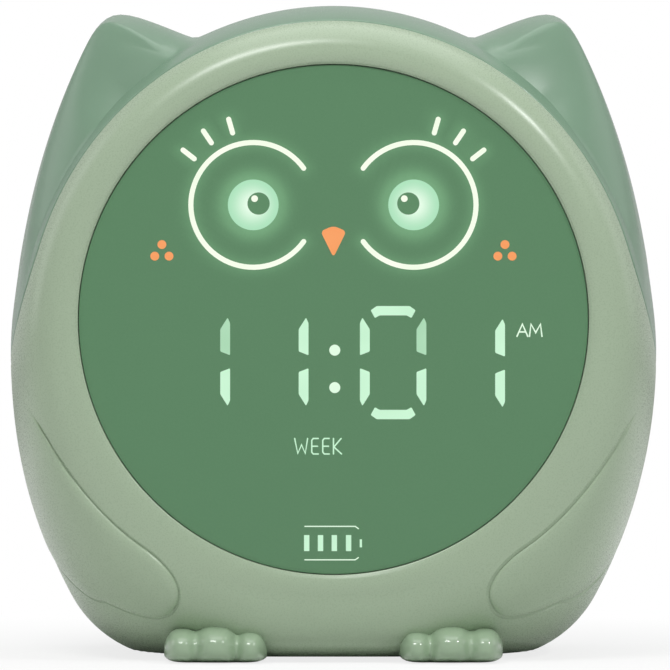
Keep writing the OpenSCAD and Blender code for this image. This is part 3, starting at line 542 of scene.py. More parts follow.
def front_section(turn):
    """Points along lens bore, ring, outer skin, seam edge, lip, inner skin and lens ledge."""
    a = math.radians(turn)
    c, s = abs(math.cos(a)), math.sin(a)

    def bore(radius, y):
        r = lens_ray(c, s, radius)
        return Vector((r * math.cos(a), y, WIDEST_Z + r * s))

    path = [bore(LENS_R + LENS_PLAY, LEDGE_Y)]
    for step in (0, 30, 60, 90):
        out = RIM_EDGE * (1 - math.cos(math.radians(step)))
        back = RIM_EDGE * (1 - math.sin(math.radians(step)))
        path.append(bore(LENS_R + LENS_PLAY + out, CREST_Y + RIM_ROLL + back))
    last = seam_station(turn, 0, -SEAM_GAP / 2 - SEAM_EDGE)
    outer = [mix(RIM_START, last, j / OUTER_ROWS) for j in range(OUTER_ROWS + 1)]
    path += [body_point(turn, q, 0) for q in outer]
    path += seam_edge(turn, -1)
    for d, shift in ((LIP_DEPTH, -SEAM_GAP / 2), (LIP_DEPTH, LIP_REACH), (WALL, LIP_REACH)):
        last = seam_station(turn, d, shift)
        path.append(body_point(turn, last, d))
    inner = [mix(last, RIM_START, j / INNER_ROWS) for j in range(1, INNER_ROWS + 1)]
    path += [body_point(turn, q, WALL) for q in inner]
    path += [bore(LENS_R + LEDGE_WALL, LEDGE_Y + LEDGE_WALL),
             bore(LENS_R - LEDGE_IN, LEDGE_Y + LEDGE_WALL),
             bore(LENS_R - LEDGE_IN, LEDGE_Y), bore(LENS_R + LENS_PLAY, LEDGE_Y)]
    return path


front = finish_mesh(mould(front_section), "front_shell_moulding", sage_abs, sharp=40)


# ---------------------------------------------------------------- wings
# Two flat feathers of the same moulding, raised 0.4 mm at the lower sides, with a thin groove round
# the edge. They run from a point at the widest level down to a round tip beside the feet and wrap
# round the side.
WING_H = 0.4
WING_ROOT = 0.3
WING_EDGE = 2.0
WING_TOP = (71, 62)
WING_INNER = (43.5, 26.2)
WING_TIP = (36, 12.5)
WING_NOTCH = (52, 13.9)
WING_OUT = (66, 24)
GROOVE_R = 1.3
GROOVE_LIFT = 0.78
GROOVE_THIN = 0.15
GROOVE_GROWS = 9
GROOVE_ENDS = 6


def bend(p0, p1, p2, p3, n):
    """Points of a curve from p0 to p3 that is drawn towards p1 and p2."""
    out = []
    for i in range(n + 1):
        t = i / n
        weights = ((1 - t) ** 3, 3 * t * (1 - t) ** 2, 3 * t * t * (1 - t), t**3)
        parts = list(zip(weights, (p0, p1, p2, p3)))
        out.append(Vector([sum(w * p[axis] for w, p in parts) for axis in (0, 1)]))
    return out


inner_edge = bend(WING_TOP, (65.5, 49.5), (55.5, 34.5), WING_INNER, 30)
inner_edge += bend(WING_INNER, (37, 21.8), (33.2, 16.5), WING_TIP, 16)[1:]
lower_edge = bend(WING_TIP, (38, 9), (43.5, 10), WING_NOTCH, 16)
lower_edge += bend(WING_NOTCH, (55, 13.2), (61, 18), WING_OUT, 16)[1:]
wing_edge = inner_edge + lower_edge[1:]


def edge_distance(p, line):
    """Distance of a point from a line of points."""
    best = math.inf
    for a, b in zip(line, line[1:]):
        span = b - a
        t = portion((p - a).dot(span) / span.length_squared)
        best = min(best, (p - a - span * t).length)
    return best


def polar(x, z):
    """Turn and distance of a point from the centre of the widest level."""
    return math.degrees(math.atan2(z - WIDEST_Z, x)), math.hypot(x, z - WIDEST_Z)


def front_station(turn, radius):
    """Station on the front half at which the surface has that distance from the centre."""
    def nearer(q):
        p = body_point(turn, q, 0)
        return polar(p.x, p.z)[1] < radius

    return last_station(0.0, 90.0, 22, nearer)


def at_turn(line, turn):
    """Distances from the centre at which a line of points crosses a ray."""
    out = []
    for a, b in zip(line, line[1:]):
        ta, tb = polar(*a)[0], polar(*b)[0]
        if (ta - turn) * (tb - turn) <= 0 and ta != tb:
            out.append(polar(*(a + (b - a) * ((turn - ta) / (tb - ta))))[1])
    return out


def groove_tool(side):
    """Round tool along a feather's edge, thin at both ends, as a mesh."""
    path = bpy.data.curves.new("groove", "CURVE")
    path.dimensions = "3D"
    path.bevel_depth = GROOVE_R * MM
    path.bevel_resolution = 2
    path.use_fill_caps = True
    spline = path.splines.new("POLY")
    count = len(wing_edge)
    spline.points.add(count - 1)
    for i, (spot, p) in enumerate(zip(spline.points, wing_edge)):
        turn, radius = polar(*p)
        on = body_point(turn, front_station(turn, radius), -GROOVE_LIFT) * MM
        spot.co = (side * on.x, on.y, on.z, 1)
        full = ramp(i, 0, GROOVE_GROWS) * ramp(i, count, count - GROOVE_ENDS)
        spot.radius = mix(GROOVE_THIN, 1, full)
    tool = bpy.data.objects.new("groove", path)
    scene.collection.objects.link(tool)
    bpy.context.view_layer.update()
    seen = tool.evaluated_get(bpy.context.evaluated_depsgraph_get())
    mesh = bpy.data.meshes.new_from_object(seen)
    bpy.data.objects.remove(tool)
    return mesh


groove = bmesh.new()
for side in (1, -1):
    groove.from_mesh(groove_tool(side))
groove_bm = cut_away(front, finish_mesh(groove, "grooves", sage_abs))
front = finish_mesh(groove_bm, "front_shell_moulding", sage_abs, sharp=40, flip=False)
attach(front, "housing")
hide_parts("front_shell")

# The raised feather runs out towards the seam at its back and towards the widest level, and gets
# flatter round the side. Its sheet of quads is finer near its edges. Its skin lies inside the sheet
# on the right and outside it on the left.
WING_BACK = 86.0
WING_COLUMNS = 110
WING_ROWS = 44
WING_SKIN = 0.3
TIP_PLAY = 0.05
BACK_FROM = 60
BACK_PLAY = 0.1
BACK_PITCH = 0.8
LEAST_ROOM = 0.001
LEVEL_FROM, LEVEL_FULL = 4, 28
SIDE_FROM, SIDE_FULL = 40, 80
SIDE_FLATTER = 0.5
wing_low = min(polar(*p)[0] for p in wing_edge) + TIP_PLAY
wing_high = polar(*WING_TOP)[0]


def wing_turn(column):
    share = (1 - math.cos(math.pi * column / WING_COLUMNS)) / 2
    return wing_low + (wing_high - wing_low) * share


def wing_span(turn):
    """First and last station of the feather at a turn."""
    inner, outer = at_turn(inner_edge, turn), at_turn(lower_edge, turn)
    first = front_station(turn, min(inner + outer))
    return first, max(first, front_station(turn, max(outer)) if outer else WING_BACK)


wing_spans = [wing_span(wing_turn(column)) for column in range(WING_COLUMNS + 1)]


def wing_point(column, row):
    turn = wing_turn(column)
    first, last = wing_spans[column]
    q = first + (last - first) * (1 - math.cos(math.pi * row / WING_ROWS)) / 2
    flat = body_point(turn, q, 0)
    room = edge_distance(Vector((flat.x, flat.z)), wing_edge)
    if q > BACK_FROM and last > WING_BACK - BACK_PLAY:
        room = min(room, (WING_BACK - q) * BACK_PITCH + LEAST_ROOM)
    rise = (WING_H + WING_ROOT) * ramp(-turn, LEVEL_FROM, LEVEL_FULL)
    rise *= 1 - SIDE_FLATTER * ramp(q, SIDE_FROM, SIDE_FULL)
    rounded = math.sqrt(1 - (1 - portion(room / WING_EDGE)) ** 2)
    return body_point(turn, q, WING_ROOT - rise * rounded)


wing_points = [[wing_point(column, row) for row in range(WING_ROWS + 1)]
               for column in range(WING_COLUMNS + 1)]
for side, name in ((1, "right_wing_relief"), (-1, "left_wing_relief")):
    bm = sheet(WING_COLUMNS, WING_ROWS,
               lambda column, row: mirrored(wing_points[column][row], side))
    wing = finish_mesh(bm, name, sage_abs, sharp=60)
    shell = wing.modifiers.new("thickness", "SOLIDIFY")
    shell.thickness = WING_SKIN * MM
    shell.offset = -1
    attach(wing, "housing")


# ---------------------------------------------------------------- rear shell
# Hood, ears and back in one moulding of a deeper green. Its satin plastic lets the night light
# through, so it looks a little waxy. The back has holes for keys, speaker, socket, switch and four
# deep screw holes.
LIP_PLAY = 0.2
INNER_COUNTS = (4, 8, 20)
OUTER_COUNTS = (14, 24, 60)
LEAST_STEP = 0.4

hood_plastic = moulded_plastic("satin_green_hood", "#73927A", "#799880", 0.22, 0.25, 0.12)


def back_stations(turn, d, first, counts):
    """Stations from the seam to the back, close together on the face of the ear."""
    a = math.radians(turn)
    start, run = ear_slope(abs(math.cos(a)), math.sin(a), d)[2:]
    foot = max(station_at(start, d), first + 1)
    out = [mix(first, foot, j / counts[0]) for j in range(counts[0] + 1)]
    for j in range(1, counts[1] + 1):
        deep = start + run * math.sin(math.radians(90 * j / counts[1]))
        out.append(max(foot + LEAST_STEP * j, station_at(deep, d)))
    last = out[-1]
    return out + [mix(last, 180, j / counts[2]) for j in range(1, counts[2] + 1)]


def rear_section(turn):
    """Points along the back's inside, inner skin, lapped rim, seam edge, outer skin and back."""
    inner_centre = Vector((0, BACK_Y - WALL, WIDEST_Z))
    inner_last = body_point(turn, 180, WALL)
    path = [inner_centre.lerp(inner_last, share) for share in (0, 0.35, 0.7)]
    first = seam_station(turn, WALL, LIP_REACH + SEAM_GAP)
    inner = back_stations(turn, WALL, first, INNER_COUNTS)
    path += [body_point(turn, q, WALL) for q in reversed(inner)]
    d = LIP_DEPTH - LIP_PLAY
    for shift in (LIP_REACH + SEAM_GAP, SEAM_GAP / 2):
        path.append(body_point(turn, seam_station(turn, d, shift), d))
    path += reversed(seam_edge(turn, 1))
    first = seam_station(turn, 0, SEAM_GAP / 2 + SEAM_EDGE)
    path += [body_point(turn, q, 0) for q in back_stations(turn, 0, first, OUTER_COUNTS)]
    outer_last = body_point(turn, 180, 0)
    outer_centre = Vector((0, BACK_Y, WIDEST_Z))
    return path + [outer_last.lerp(outer_centre, share) for share in (0.3, 0.65, 1)]


def drill(bm, radius, x, z, y0, y1, segments=40):
    """Adds a cylinder laid along Y."""
    middle = Vector((x, (y0 + y1) / 2, z)) * MM
    placed = Matrix.Translation(middle) @ Matrix.Rotation(math.radians(90), 4, "X")
    bmesh.ops.create_cone(bm, cap_ends=True, segments=segments, radius1=radius * MM,
                          radius2=radius * MM, depth=(y1 - y0) * MM, matrix=placed)


def rounded_bar(bm, x, z, width, height, corner, y0, y1):
    """Adds a bar laid along Y, its four long edges rounded."""
    made = bmesh.ops.create_cube(bm, size=1)["verts"]
    bmesh.ops.scale(bm, verts=made, vec=Vector((width, y1 - y0, height)) * MM)
    bmesh.ops.translate(bm, verts=made, vec=Vector((x, (y0 + y1) / 2, z)) * MM)
    long_edges = {e for v in made for e in v.link_edges
                  if abs(e.verts[0].co.y - e.verts[1].co.y) > 1e-6}
    bmesh.ops.bevel(bm, geom=list(long_edges), offset=corner * MM, offset_type="OFFSET",
                    segments=6, profile=0.5, affect="EDGES", material=-1)


# Holes in the back: their tools start inside the wall and end behind the clock. The holes of socket
# and switch have a width, a height and a corner radius.
HOLE_Y = (36, 50)
KEY_R = 4.5
KEY_PLAY = 0.3
KEY_PITCH = 14.0
KEY_Z = 104.0
SPEAKER_Z = 62.0
GRILLE_PITCH = 4.6
GRILLE_R = 1.15
POSTS = ((49.72, 107.17), (-49.72, 107.17), (46.32, 42.4), (-46.32, 42.4))
SCREW_HOLE_R = 3.2
SOCKET_HOLE = (9.44, 3.7, 1.5)
SWITCH_HOLE = (5.5, 2.8, 0.5)
HOLE_EDGE = 0.3

socket_low, socket_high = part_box("usb_socket")
switch_low, switch_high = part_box("switch_body")
knob_low, knob_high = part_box("switch_knob")
SOCKET_X = (socket_low[0] + socket_high[0]) / 2 / MM
SOCKET_Z = (socket_low[2] + socket_high[2]) / 2 / MM
SWITCH_X = (switch_low[0] + switch_high[0]) / 2 / MM
SWITCH_Z = (knob_low[2] + knob_high[2]) / 2 / MM

rear = finish_mesh(mould(rear_section), "rear_shell_moulding", hood_plastic, sharp=180)
cut = bmesh.new()
for i in range(-2, 3):
    drill(cut, KEY_R + KEY_PLAY, i * KEY_PITCH, KEY_Z, *HOLE_Y)
for u in range(-2, 3):
    for v in range(-2, 3):
        if abs(u + v) <= 2:
            x, up = (u + v / 2) * GRILLE_PITCH, v * GRILLE_PITCH * math.sin(math.radians(60))
            drill(cut, GRILLE_R, x, SPEAKER_Z + up, *HOLE_Y, segments=24)
for x, z in POSTS:
    drill(cut, SCREW_HOLE_R, x, z, *HOLE_Y, segments=32)
rounded_bar(cut, SOCKET_X, SOCKET_Z, *SOCKET_HOLE, *HOLE_Y)
rounded_bar(cut, SWITCH_X, SWITCH_Z, *SWITCH_HOLE, *HOLE_Y)
bm = cut_away(rear, finish_mesh(cut, "drills", hood_plastic))

# The outer edges of the holes are bevelled: sharp, close to the back, and beside its flat face.
EDGE_ANGLE = 50
NEAR_BACK_Y = 40
FACES_BACK = 0.6
rim = [e for e in bm.edges
       if len(e.link_faces) == 2 and e.calc_face_angle(0) > math.radians(EDGE_ANGLE)
       and min(v.co.y for v in e.verts) > NEAR_BACK_Y * MM
       and max(f.normal.y for f in e.link_faces) > FACES_BACK]
bmesh.ops.bevel(bm, geom=rim, offset=HOLE_EDGE * MM, offset_type="OFFSET", segments=2,
                profile=0.5, affect="EDGES", material=-1, clamp_overlap=True)
rear = finish_mesh(bm, "rear_shell_moulding", hood_plastic, sharp=40, flip=False)
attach(rear, "housing")
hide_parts("rear_shell")

# Deep sleeves of the same moulding carry the four housing screws.
SLEEVE_R = 4.2
SLEEVE_WALL = 1
SLEEVE_Y = (2, 39.5)
bm = bmesh.new()
for x, z in POSTS:
    tube = bmesh.new()
    drill(tube, SLEEVE_R, x, z, *SLEEVE_Y)
    caps = [f for f in tube.faces if abs(f.normal.y) > 0.9]
    bmesh.ops.inset_individual(tube, faces=caps, thickness=SLEEVE_WALL * MM)
    caps = [f for f in tube.faces if abs(f.normal.y) > 0.9 and len(f.verts) > 4]
    bmesh.ops.delete(tube, geom=caps, context="FACES_ONLY")
    bmesh.ops.bridge_loops(tube, edges=[e for e in tube.edges if len(e.link_faces) == 1])
    join(bm, tube)
sleeves = finish_mesh(bm, "screw_sleeves", hood_plastic)
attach(sleeves, "housing")


# ---------------------------------------------------------------- lens
# A disc of tinted acrylic behind the ring, its film side towards the light. Unlit it is one flat
# green; round each lit shape behind it, a painted glow a few millimetres wide is set in its
# emission.
LENS_FRONT = CREST_Y + 1.5
LENS_MIDDLE = 0.5
LENS_RINGS = 60
LENS_FLAT_R = LENS_R - 0.2
LENS_EDGE = ((LENS_R - 0.05, 0.05), (LENS_R, 0.3), (LENS_R, 2.0))

tinted_acrylic, tree = material("tinted_acrylic")
# The lens's emission is a painted glow, read from the value glow stored at its points.
painted_glow = add(tree, "ShaderNodeAttribute", attribute_name="glow").outputs["Fac"]
cover(tree, {
    "Base Color": blend(tree, noise(tree, 0.5, 2.0), "#56835D", "#5C8963"), "Roughness": 0.34,
    "IOR": 1.49, "Coat Weight": 0.15, "Coat Roughness": 0.12,
    "Emission Color": linear("#A8E8B0"), "Emission Strength": calc(tree, "MULTIPLY", painted_glow, 0.42)})

# Centre lines of the face's lit strokes, in millimetres across the lens: around each eye an open
# ring and three short tufts.
EYE = (18.0, 103.0)
EYE_R = 5.7
DISC_R = 14.0
DISC_GAP = 36
TUFT_TURNS = (38, 56, 74)
TUFT_REACH = (2.8, 6.0)


def arc(x, z, radius, start, end, n):
    turns = [math.radians(start + (end - start) * i / n) for i in range(n + 1)]
    return [(x + radius * math.cos(turn), z + radius * math.sin(turn)) for turn in turns]


def disc(x, z, radius, corners=24):
    return arc(x, z, radius, 0, 360 - 360 / corners, corners - 1)


face_strokes = []
for side in (-1, 1):
    ring = arc(*EYE, DISC_R, DISC_GAP - 180, 180 - DISC_GAP, 60)
    face_strokes.append([(side * x, z) for x, z in ring])
    for turn in TUFT_TURNS:
        way = Vector((math.cos(math.radians(turn)), math.sin(math.radians(turn))))
        ends = [Vector(EYE) + way * (DISC_R + reach) for reach in TUFT_REACH]
        face_strokes.append([(side * p.x, p.y) for p in ends])

# Strength and width of the glow painted on the lens round the strokes and round the eyes.
STROKE_GLOW = 0.22
STROKE_SPREAD = 1.8
EYE_GLOW = 0.45
EYE_SPREAD = 2.4


def painted_lens_glow(x, z):
    """How strongly the glow painted on the lens round nearby lit shapes shows at a point of the
    lens.
    """
    p = Vector((x, z))
    near = min(edge_distance(p, [Vector(q) for q in stroke]) for stroke in face_strokes)
    value = STROKE_GLOW * math.exp(-((near / STROKE_SPREAD) ** 2))
    for side in (-1, 1):
        away = max(0, math.hypot(x - side * EYE[0], z - EYE[1]) - EYE_R)
        value += EYE_GLOW * math.exp(-((away / EYE_SPREAD) ** 2))
    return min(1, value)


bm = bmesh.new()
bmesh.ops.create_circle(bm, cap_ends=False, segments=128, radius=LENS_MIDDLE * MM)
edge = bm.edges[:]
bmesh.ops.contextual_create(bm, geom=bm.verts[:])
rings = [(LENS_MIDDLE + (LENS_FLAT_R - LENS_MIDDLE) * ring / LENS_RINGS, 0)
         for ring in range(1, LENS_RINGS + 1)]
for radius, depth in (*rings, *LENS_EDGE):
    grown = bmesh.ops.extrude_edge_only(bm, edges=edge)["geom"]
    edge = [g for g in grown if isinstance(g, bmesh.types.BMEdge) and len(g.link_faces) == 1]
    for v in {v for e in edge for v in e.verts}:
        v.co.xy = v.co.xy.normalized() * radius * MM
        v.co.z = -depth * MM
bmesh.ops.contextual_create(bm, geom=edge)
bmesh.ops.rotate(bm, verts=bm.verts, matrix=Matrix.Rotation(math.radians(90), 3, "X"))
bmesh.ops.translate(bm, verts=bm.verts, vec=Vector((0, LENS_FRONT, LENS_Z)) * MM)
lens = finish_mesh(bm, "lens_disc", tinted_acrylic, sharp=30)
# Points on the lens front store the strength of the painted glow; the other points store none.
glow_values = lens.data.attributes.new("glow", "FLOAT", "POINT").data
for v in lens.data.vertices:
    on_front = v.co.y < (LENS_FRONT + 0.2) * MM
    glow_values[v.index].value = painted_lens_glow(v.co.x / MM, v.co.z / MM) if on_front else 0
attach(lens, "housing")
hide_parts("lens")


# ---------------------------------------------------------------- lit display
# Light comes through printed openings in the film: seven-segment digits, a colon, AM, WEEK, a cell
# gauge and an owl's face. Each lit shape is a thin clear island in the film, level with the lens to
# a few hundredths of a millimetre.
FILM_RISE = 0.04
FILM_DEPTH = 0.3


def clear_film(tree, colour):
    cover(tree, {"Base Color": linear("#202820"), "Roughness": 0.3, "IOR": 1.49,
                 "Emission Color": colour, "Emission Strength": 1.0})


def lit_film(name, colour, centre_colour):
    """Film lit from behind, its light a little brighter in soft random patches."""
    made, tree = material(name)
    clear_film(tree, blend(tree, noise(tree, 7, 1.0), colour, centre_colour))
    return made


digit_light = lit_film("lit_film_pale_green", "#BFEBC9", "#CDF7D6")
dim_light = lit_film("lit_film_dim_green", "#A2D1AC", "#B0DDBA")
sign_light = lit_film("lit_film_green_white", "#D8F4DB", "#E8FFE6")
stroke_light = lit_film("lit_film_warm_white", "#EAFADF", "#FFFEF2")
orange_light = lit_film("lit_film_orange", "#F2924F", "#F7A062")


def island(outline, rise, round_off):
    """A flat shape with its outline in X and Z, its corners rounded, rise above the lens."""
    bm = bmesh.new()
    back = (LENS_FRONT + FILM_DEPTH) * MM
    face = bm.faces.new([bm.verts.new((x * MM, back, z * MM)) for x, z in outline])
    face.normal_update()
    if face.normal.y > 0:
        face.normal_flip()
    if round_off:
        bmesh.ops.bevel(bm, geom=face.verts[:], offset=round_off * MM, offset_type="OFFSET",
                        segments=4, profile=0.5, affect="VERTICES", material=-1)
    bm.faces.ensure_lookup_table()
    pushed = bmesh.ops.extrude_face_region(bm, geom=[bm.faces[-1]])["geom"]
    bmesh.ops.translate(bm, verts=[g for g in pushed if isinstance(g, bmesh.types.BMVert)],
                        vec=(0, -(FILM_DEPTH + rise) * MM, 0))
    return bm


def islands(name, outlines, lit, round_off=0.25, rise=FILM_RISE):
    """Lit shapes of one kind as one piece."""
    bm = bmesh.new()
    for outline in outlines:
        join(bm, island(outline, rise, round_off))
    made = finish_mesh(bm, name, lit, sharp=30)
    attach(made, "housing")


# Outlines of an upright and a bar of a digit, and the digits by right edge, lit segments and level.
# The first lit upright and one of the nought are dimmer.
DIGIT_Z = 67.6
DIGIT_W = 14.9
STROKE = 2.2
LOWER_LIFT = 0.4
UPRIGHT = ((0, 1.65), (0, 8.9), (-0.55, 10.1), (-STROKE, 7.5), (-STROKE, 2.5))
BAR = ((-3.7, 12.7), (3.7, 12.7), (5.05, 11.75), (4.1, 10.0), (3.05, 10.6), (-3.05, 10.6),
       (-4.1, 10.0), (-5.05, 11.75))
DIGITS = ((-23.2, "bc", DIGIT_Z), (-5.6, "bc", DIGIT_Z), (20.85, "abcdef", DIGIT_Z),
          (38.5, "bc", DIGIT_Z - 0.3))
DIM = ((0, "b"), (2, "b"))


def segment(kind, right, left, level):
    """Outline of one lit segment of the digit between the edges left and right."""
    if kind in "ad":
        way = 1 if kind == "a" else -1
        return [((left + right) / 2 + x, level + way * z) for x, z in BAR]
    edge, flip = (right, 1) if kind in "bc" else (left, -1)
    lift, way = (0, 1) if kind in "bf" else (LOWER_LIFT, -1)
    return [(edge + flip * x, level + lift + way * z) for x, z in UPRIGHT]


bright, dim = [], []
for number, (right, lit, level) in enumerate(DIGITS):
    for kind in lit:
        target = dim if (number, kind) in DIM else bright
        target.append(segment(kind, right, right - DIGIT_W, level))
islands("digit_segments", bright, digit_light)
islands("digit_segments_dim", dim, dim_light)
islands("colon_dots", [disc(0.3, z, 1.24) for z in (70.4, 62.0)], sign_light, 0)


def line_shape(points, width):
    """Outline of a stroke of even width with round ends, along a centre line."""
    pts = [Vector(p) for p in points]
    left, right = [], []
    for i, p in enumerate(pts):
        before = (p - pts[i - 1]).normalized() if i else (pts[1] - p).normalized()
        after = (pts[i + 1] - p).normalized() if i + 1 < len(pts) else before
        way = (before + after).normalized()
        side = Vector((-way.y, way.x)) * width / 2 / max(0.5, way.dot(before))
        left.append(tuple(p + side))
        right.append(tuple(p - side))

    def cap(p, inner):
        start = math.degrees(math.atan2(p.y - inner.y, p.x - inner.x)) + 90
        return arc(p.x, p.y, width / 2, start, start - 180, 8)[1:-1]

    return left + cap(pts[-1], pts[-2]) + right[::-1] + cap(pts[0], pts[1])


# Each letter's width in millimetres and its strokes as shares of width and height.
LETTERS = {
    "A": (2.4, [[(0, 0), (0.5, 1), (1, 0)], [(0.2, 0.36), (0.8, 0.36)]]),
    "M": (2.8, [[(0, 0), (0.12, 1), (0.5, 0.3), (0.88, 1), (1, 0)]]),
    "W": (2.9, [[(0, 1), (0.24, 0.03), (0.53, 0.6), (0.82, 0.03), (1, 1)]]),
    "E": (1.6, [[(0.95, 1), (0.25, 1), (0.04, 0.88), (0.04, 0.12), (0.25, 0), (0.95, 0)],
                [(0.04, 0.5), (0.85, 0.5)]]),
    "K": (1.9, [[(0, 0), (0, 1)], [(0.9, 1), (0.05, 0.45), (0.95, 0)]]),
}


def word(text, x, z, height, gap, width):
    """Outlines of a word's strokes, its lower left corner at x and z."""
    out = []
    for letter in text:
        broad, strokes = LETTERS[letter]
        for stroke in strokes:
            line = [(x + across * broad, z + up * height) for across, up in stroke]
            out.append(line_shape(line, width))
        x += broad + gap
    return out


islands("am_flag", word("AM", 41.2, 73.5, 2.75, 0.4, 0.34), sign_light, 0)
islands("week_flag", word("WEEK", -8.7, 47.1, 3.48, 0.87, 0.31), digit_light, 0)

# The cell gauge: four bars and the cell's tip, between two lines that turn in at the tip.
GAUGE_Z = 27.15
gauge = [[(x - w, GAUGE_Z + low), (x + w, GAUGE_Z + low), (x + w, GAUGE_Z + high),
          (x - w, GAUGE_Z + high)]
         for x, w, low, high in ((-6.0, 0.6, -1.85, 1.75), (-2.9, 0.6, -1.85, 1.75),
                                 (0.2, 0.6, -1.85, 1.75), (3.4, 0.6, -1.85, 1.75),
                                 (6.15, 0.25, -1.0, 0.8))]
islands("cell_gauge", gauge, digit_light, 0.05)
frame_lines = [[(-6.4, GAUGE_Z + z), (4.9, GAUGE_Z + z), (5.6, GAUGE_Z + z - math.copysign(0.5, z))]
               for z in (3.7, -3.8)]
islands("cell_gauge_frame", [line_shape(line, 0.26) for line in frame_lines], sign_light, 0)

islands("face_strokes", [line_shape(stroke, 1.15) for stroke in face_strokes], stroke_light, 0)
islands("beak", [[(-2.9, 97.1), (0, 98.3), (2.9, 97.1), (0, 91.2)]], orange_light, 0.9)
cheeks = [disc(side * (38.5 + x), 92.5 + z, 1.0)
          for side in (-1, 1) for x, z in ((-1.6, -1), (1.6, -1), (0, 1.6))]
islands("cheek_dots", cheeks, orange_light, 0)

# The eyes glow brightest in the middle, where each has one lamp behind it.
eye_light, tree = material("lit_film_eye")
place = add(tree, "ShaderNodeTexCoord").outputs["Object"]
xyz = add(tree, "ShaderNodeSeparateXYZ", {"Vector": place}).outputs
across = calc(tree, "SUBTRACT", calc(tree, "ABSOLUTE", xyz["X"]), EYE[0] * MM)
up = calc(tree, "SUBTRACT", xyz["Z"], EYE[1] * MM)
spot = add(tree, "ShaderNodeCombineXYZ", {"X": across, "Y": up}).outputs[0]
away = add(tree, "ShaderNodeVectorMath", {0: spot}, operation="LENGTH").outputs["Value"]
share = add(tree, "ShaderNodeMapRange", {"Value": away, "From Min": 0.0, "From Max": EYE_R * MM},
            interpolation_type="SMOOTHSTEP").outputs[0]
clear_film(tree, blend(tree, share, "#ECFFEC", "#A9DFB9"))
islands("eyes", [disc(side * EYE[0], EYE[1], EYE_R, 60) for side in (-1, 1)], eye_light, 0)

# Printed pupils look inwards and carry a small glint.
PUPIL_IN = 1.2
PUPIL_UP = 0.3
PUPIL_R = 2.5
GLINT_LEFT = 0.9
GLINT_UP = 1.4
GLINT_R = 0.75
pupil_ink = moulded_plastic("printed_green_ink", "#5A8A62", "#5F8F66", 0.4, 0.3, 0.0)
pupils, glints = [], []
for side in (-1, 1):
    x = side * (EYE[0] - PUPIL_IN)
    pupils.append(disc(x, EYE[1] + PUPIL_UP, PUPIL_R, 45))
    glints.append(disc(x - GLINT_LEFT, EYE[1] + GLINT_UP, GLINT_R))
islands("pupils", pupils, pupil_ink, 0, rise=FILM_RISE + 0.02)
islands("pupil_glints", glints, stroke_light, 0, rise=FILM_RISE + 0.04)


# ---------------------------------------------------------------- feet
# Two small glossy mouldings pegged under the belly, each three round toes that run into one
# another. A polished tool gives them a wet shine against the matte shell.
gloss_abs, tree = material("gloss_sage_abs")
ripple = noise(tree, 3, 1.0)
cover(tree, {"Base Color": blend(tree, ripple, "#9AB295", "#A1B89B"), "Roughness": 0.16,
             "IOR": 1.53, "Normal": bumps(tree, ripple, 0.04, 0.1), "Coat Weight": 0.3,
             "Coat Roughness": 0.12})

# Each toe: middle and half width as shares of half the foot, then share of height and of reach.
TOES = ((-0.66, 0.345, 0.83, 0.93), (-0.01, 0.52, 1, 1), (0.63, 0.375, 0.9, 0.94))
TOE_HEIGHT, TOE_AHEAD = 2, 3
TOE_ROUND = 2.7
TOE_JOIN = 6
FOOT_X = 26.5
FOOT_W = 23.6
FOOT_END = 0.985
TOE_H = 8.4
TOE_FLOOR = 2.2
TOE_REACH = 3.0
TOE_BACK = 12.0
TOE_MID_Y = CREST_Y + 8
TOE_WIDEST = 0.42
SOLE_CURVE = 7
FRONT_CURVE = 1.5
BACK_CURVE = 4
RING_SQUARE = 0.8
FOOT_SLICES = 96
FOOT_POINTS = 64


def toe_share(u, column):
    """Height or reach of the three toes together at u, from -1 to 1 across the foot."""
    toes = (t[column] * math.sqrt(max(0, 1 - abs((u - t[0]) / t[1]) ** TOE_ROUND)) for t in TOES)
    return sum(toe**TOE_JOIN for toe in toes) ** (1 / TOE_JOIN)


def toe_ring(row):
    """Cross-section of the foot at one of its slices."""
    u = -FOOT_END * math.cos(math.pi * row / FOOT_SLICES)
    x = FOOT_X + u * FOOT_W / 2
    if row in (0, FOOT_SLICES):
        return [Vector((x, TOE_MID_Y, TOE_FLOOR))] * FOOT_POINTS
    low = TOE_FLOOR * (1 - math.sqrt(1 - abs(u) ** SOLE_CURVE))
    top = TOE_FLOOR + (TOE_H - TOE_FLOOR) * toe_share(u, TOE_HEIGHT)
    middle = mix(low, top, TOE_WIDEST)
    front = (TOE_MID_Y - CREST_Y + TOE_REACH) * toe_share(u, TOE_AHEAD) ** FRONT_CURVE
    back = TOE_BACK * math.sqrt(1 - u**BACK_CURVE)
    out = []
    for i in range(FOOT_POINTS):
        t = 2 * math.pi * i / FOOT_POINTS
        c, s = (math.copysign(abs(v) ** RING_SQUARE, v) for v in (math.cos(t), math.sin(t)))
        y = TOE_MID_Y - (front if c > 0 else back) * c
        z = middle + (top - middle if s > 0 else middle - low) * s
        out.append(Vector((x, y, max(0, z))))
    return out


toe_rings = [toe_ring(row) for row in range(FOOT_SLICES + 1)]
for side, name in ((1, "right"), (-1, "left")):
    bm = sheet(FOOT_POINTS, FOOT_SLICES,
               lambda column, row: mirrored(toe_rings[row][column % FOOT_POINTS], side))
    bmesh.ops.remove_doubles(bm, verts=bm.verts, dist=WELD)
    foot = finish_mesh(bm, name + "_foot_toes", gloss_abs, sharp=50)
    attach(foot, "housing")
    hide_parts(name + "_foot")


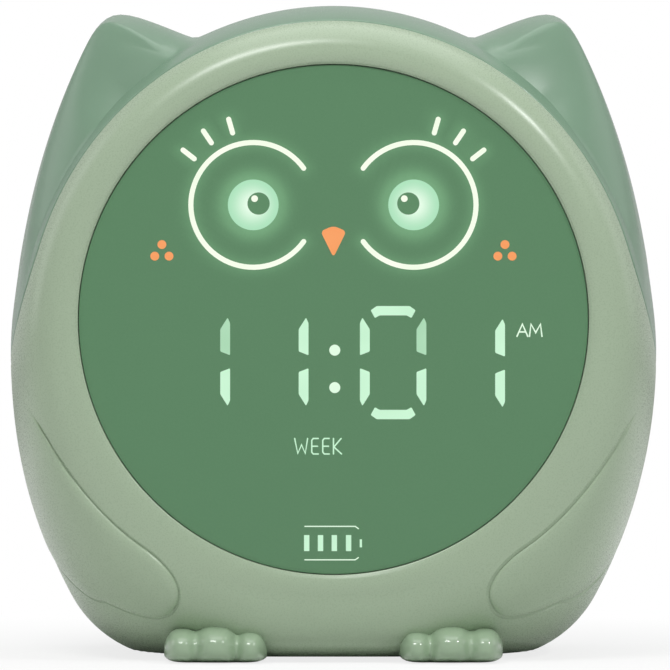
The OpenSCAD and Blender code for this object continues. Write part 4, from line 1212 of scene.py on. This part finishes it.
# ---------------------------------------------------------------- inner pieces and small parts
# What is behind the shells keeps its CAD shape: boards in green solder mask, zinc-plated screws,
# black moulded parts, white diffuser and light box, the speaker's pressed steel and paper, the
# sleeved cell. Each finish names its pieces, two colours, grain, roughness and metal share.
def simple(name, colour, tint, grain, roughness, metal=0.0):
    made, tree = material(name)
    speck = noise(tree, grain, 3.0)
    cover(tree, {"Base Color": blend(tree, speck, colour, tint), "Roughness": roughness,
                 "Metallic": metal, "Normal": bumps(tree, speck, 0.1, 0.05)})
    return made


finishes = {
    "white_moulded_abs": (("diffuser_sheet", "light_box", "lens_tape"),
                          ("#F1F1EC", "#E6E6E0", 0.5, 0.5)),
    "green_solder_mask": (("display_board", "main_board", "socket_board", "lamp_board"),
                          ("#2C6B43", "#24583A", 2.0, 0.35)),
    "led_phosphor": (("display_leds", "lamp_leds"), ("#F7E7A8", "#F2DD90", 0.5, 0.4)),
    "zinc_plated_steel": (("display_screws", "board_screws", "housing_screws", "speaker_screws",
                           "usb_socket"), ("#C2C5C8", "#AFB2B5", 0.4, 0.32, 1.0)),
    "pressed_steel": (("speaker_frame", "speaker_magnet"), ("#7A7D80", "#696C6F", 0.8, 0.4, 1.0)),
    "black_moulded_abs": (("board_parts", "tact_switches", "plunger_mode", "plunger_alarm",
                           "plunger_minus", "plunger_plus", "plunger_lamp", "battery_holder",
                           "switch_body", "switch_knob"), ("#1D1F21", "#27292C", 0.4, 0.45)),
    "black_paper_cone": (("speaker_cone",), ("#151515", "#202020", 0.3, 0.8)),
    "blue_shrink_sleeve": (("battery_cell",), ("#3C6EA8", "#356398", 4.0, 0.25)),
    "grey_rubber": (("rear_pads",), ("#5B605C", "#505551", 0.6, 0.75)),
    "satin_green_keys": (("key_mode", "key_alarm", "key_minus", "key_plus", "key_lamp"),
                         ("#86A58E", "#7F9E87", 0.35, 0.42)),
}
for name, (members, look) in finishes.items():
    finish = simple(name, *look)
    for member in members:
        nodes[member].data.materials.clear()
        nodes[member].data.materials.append(finish)
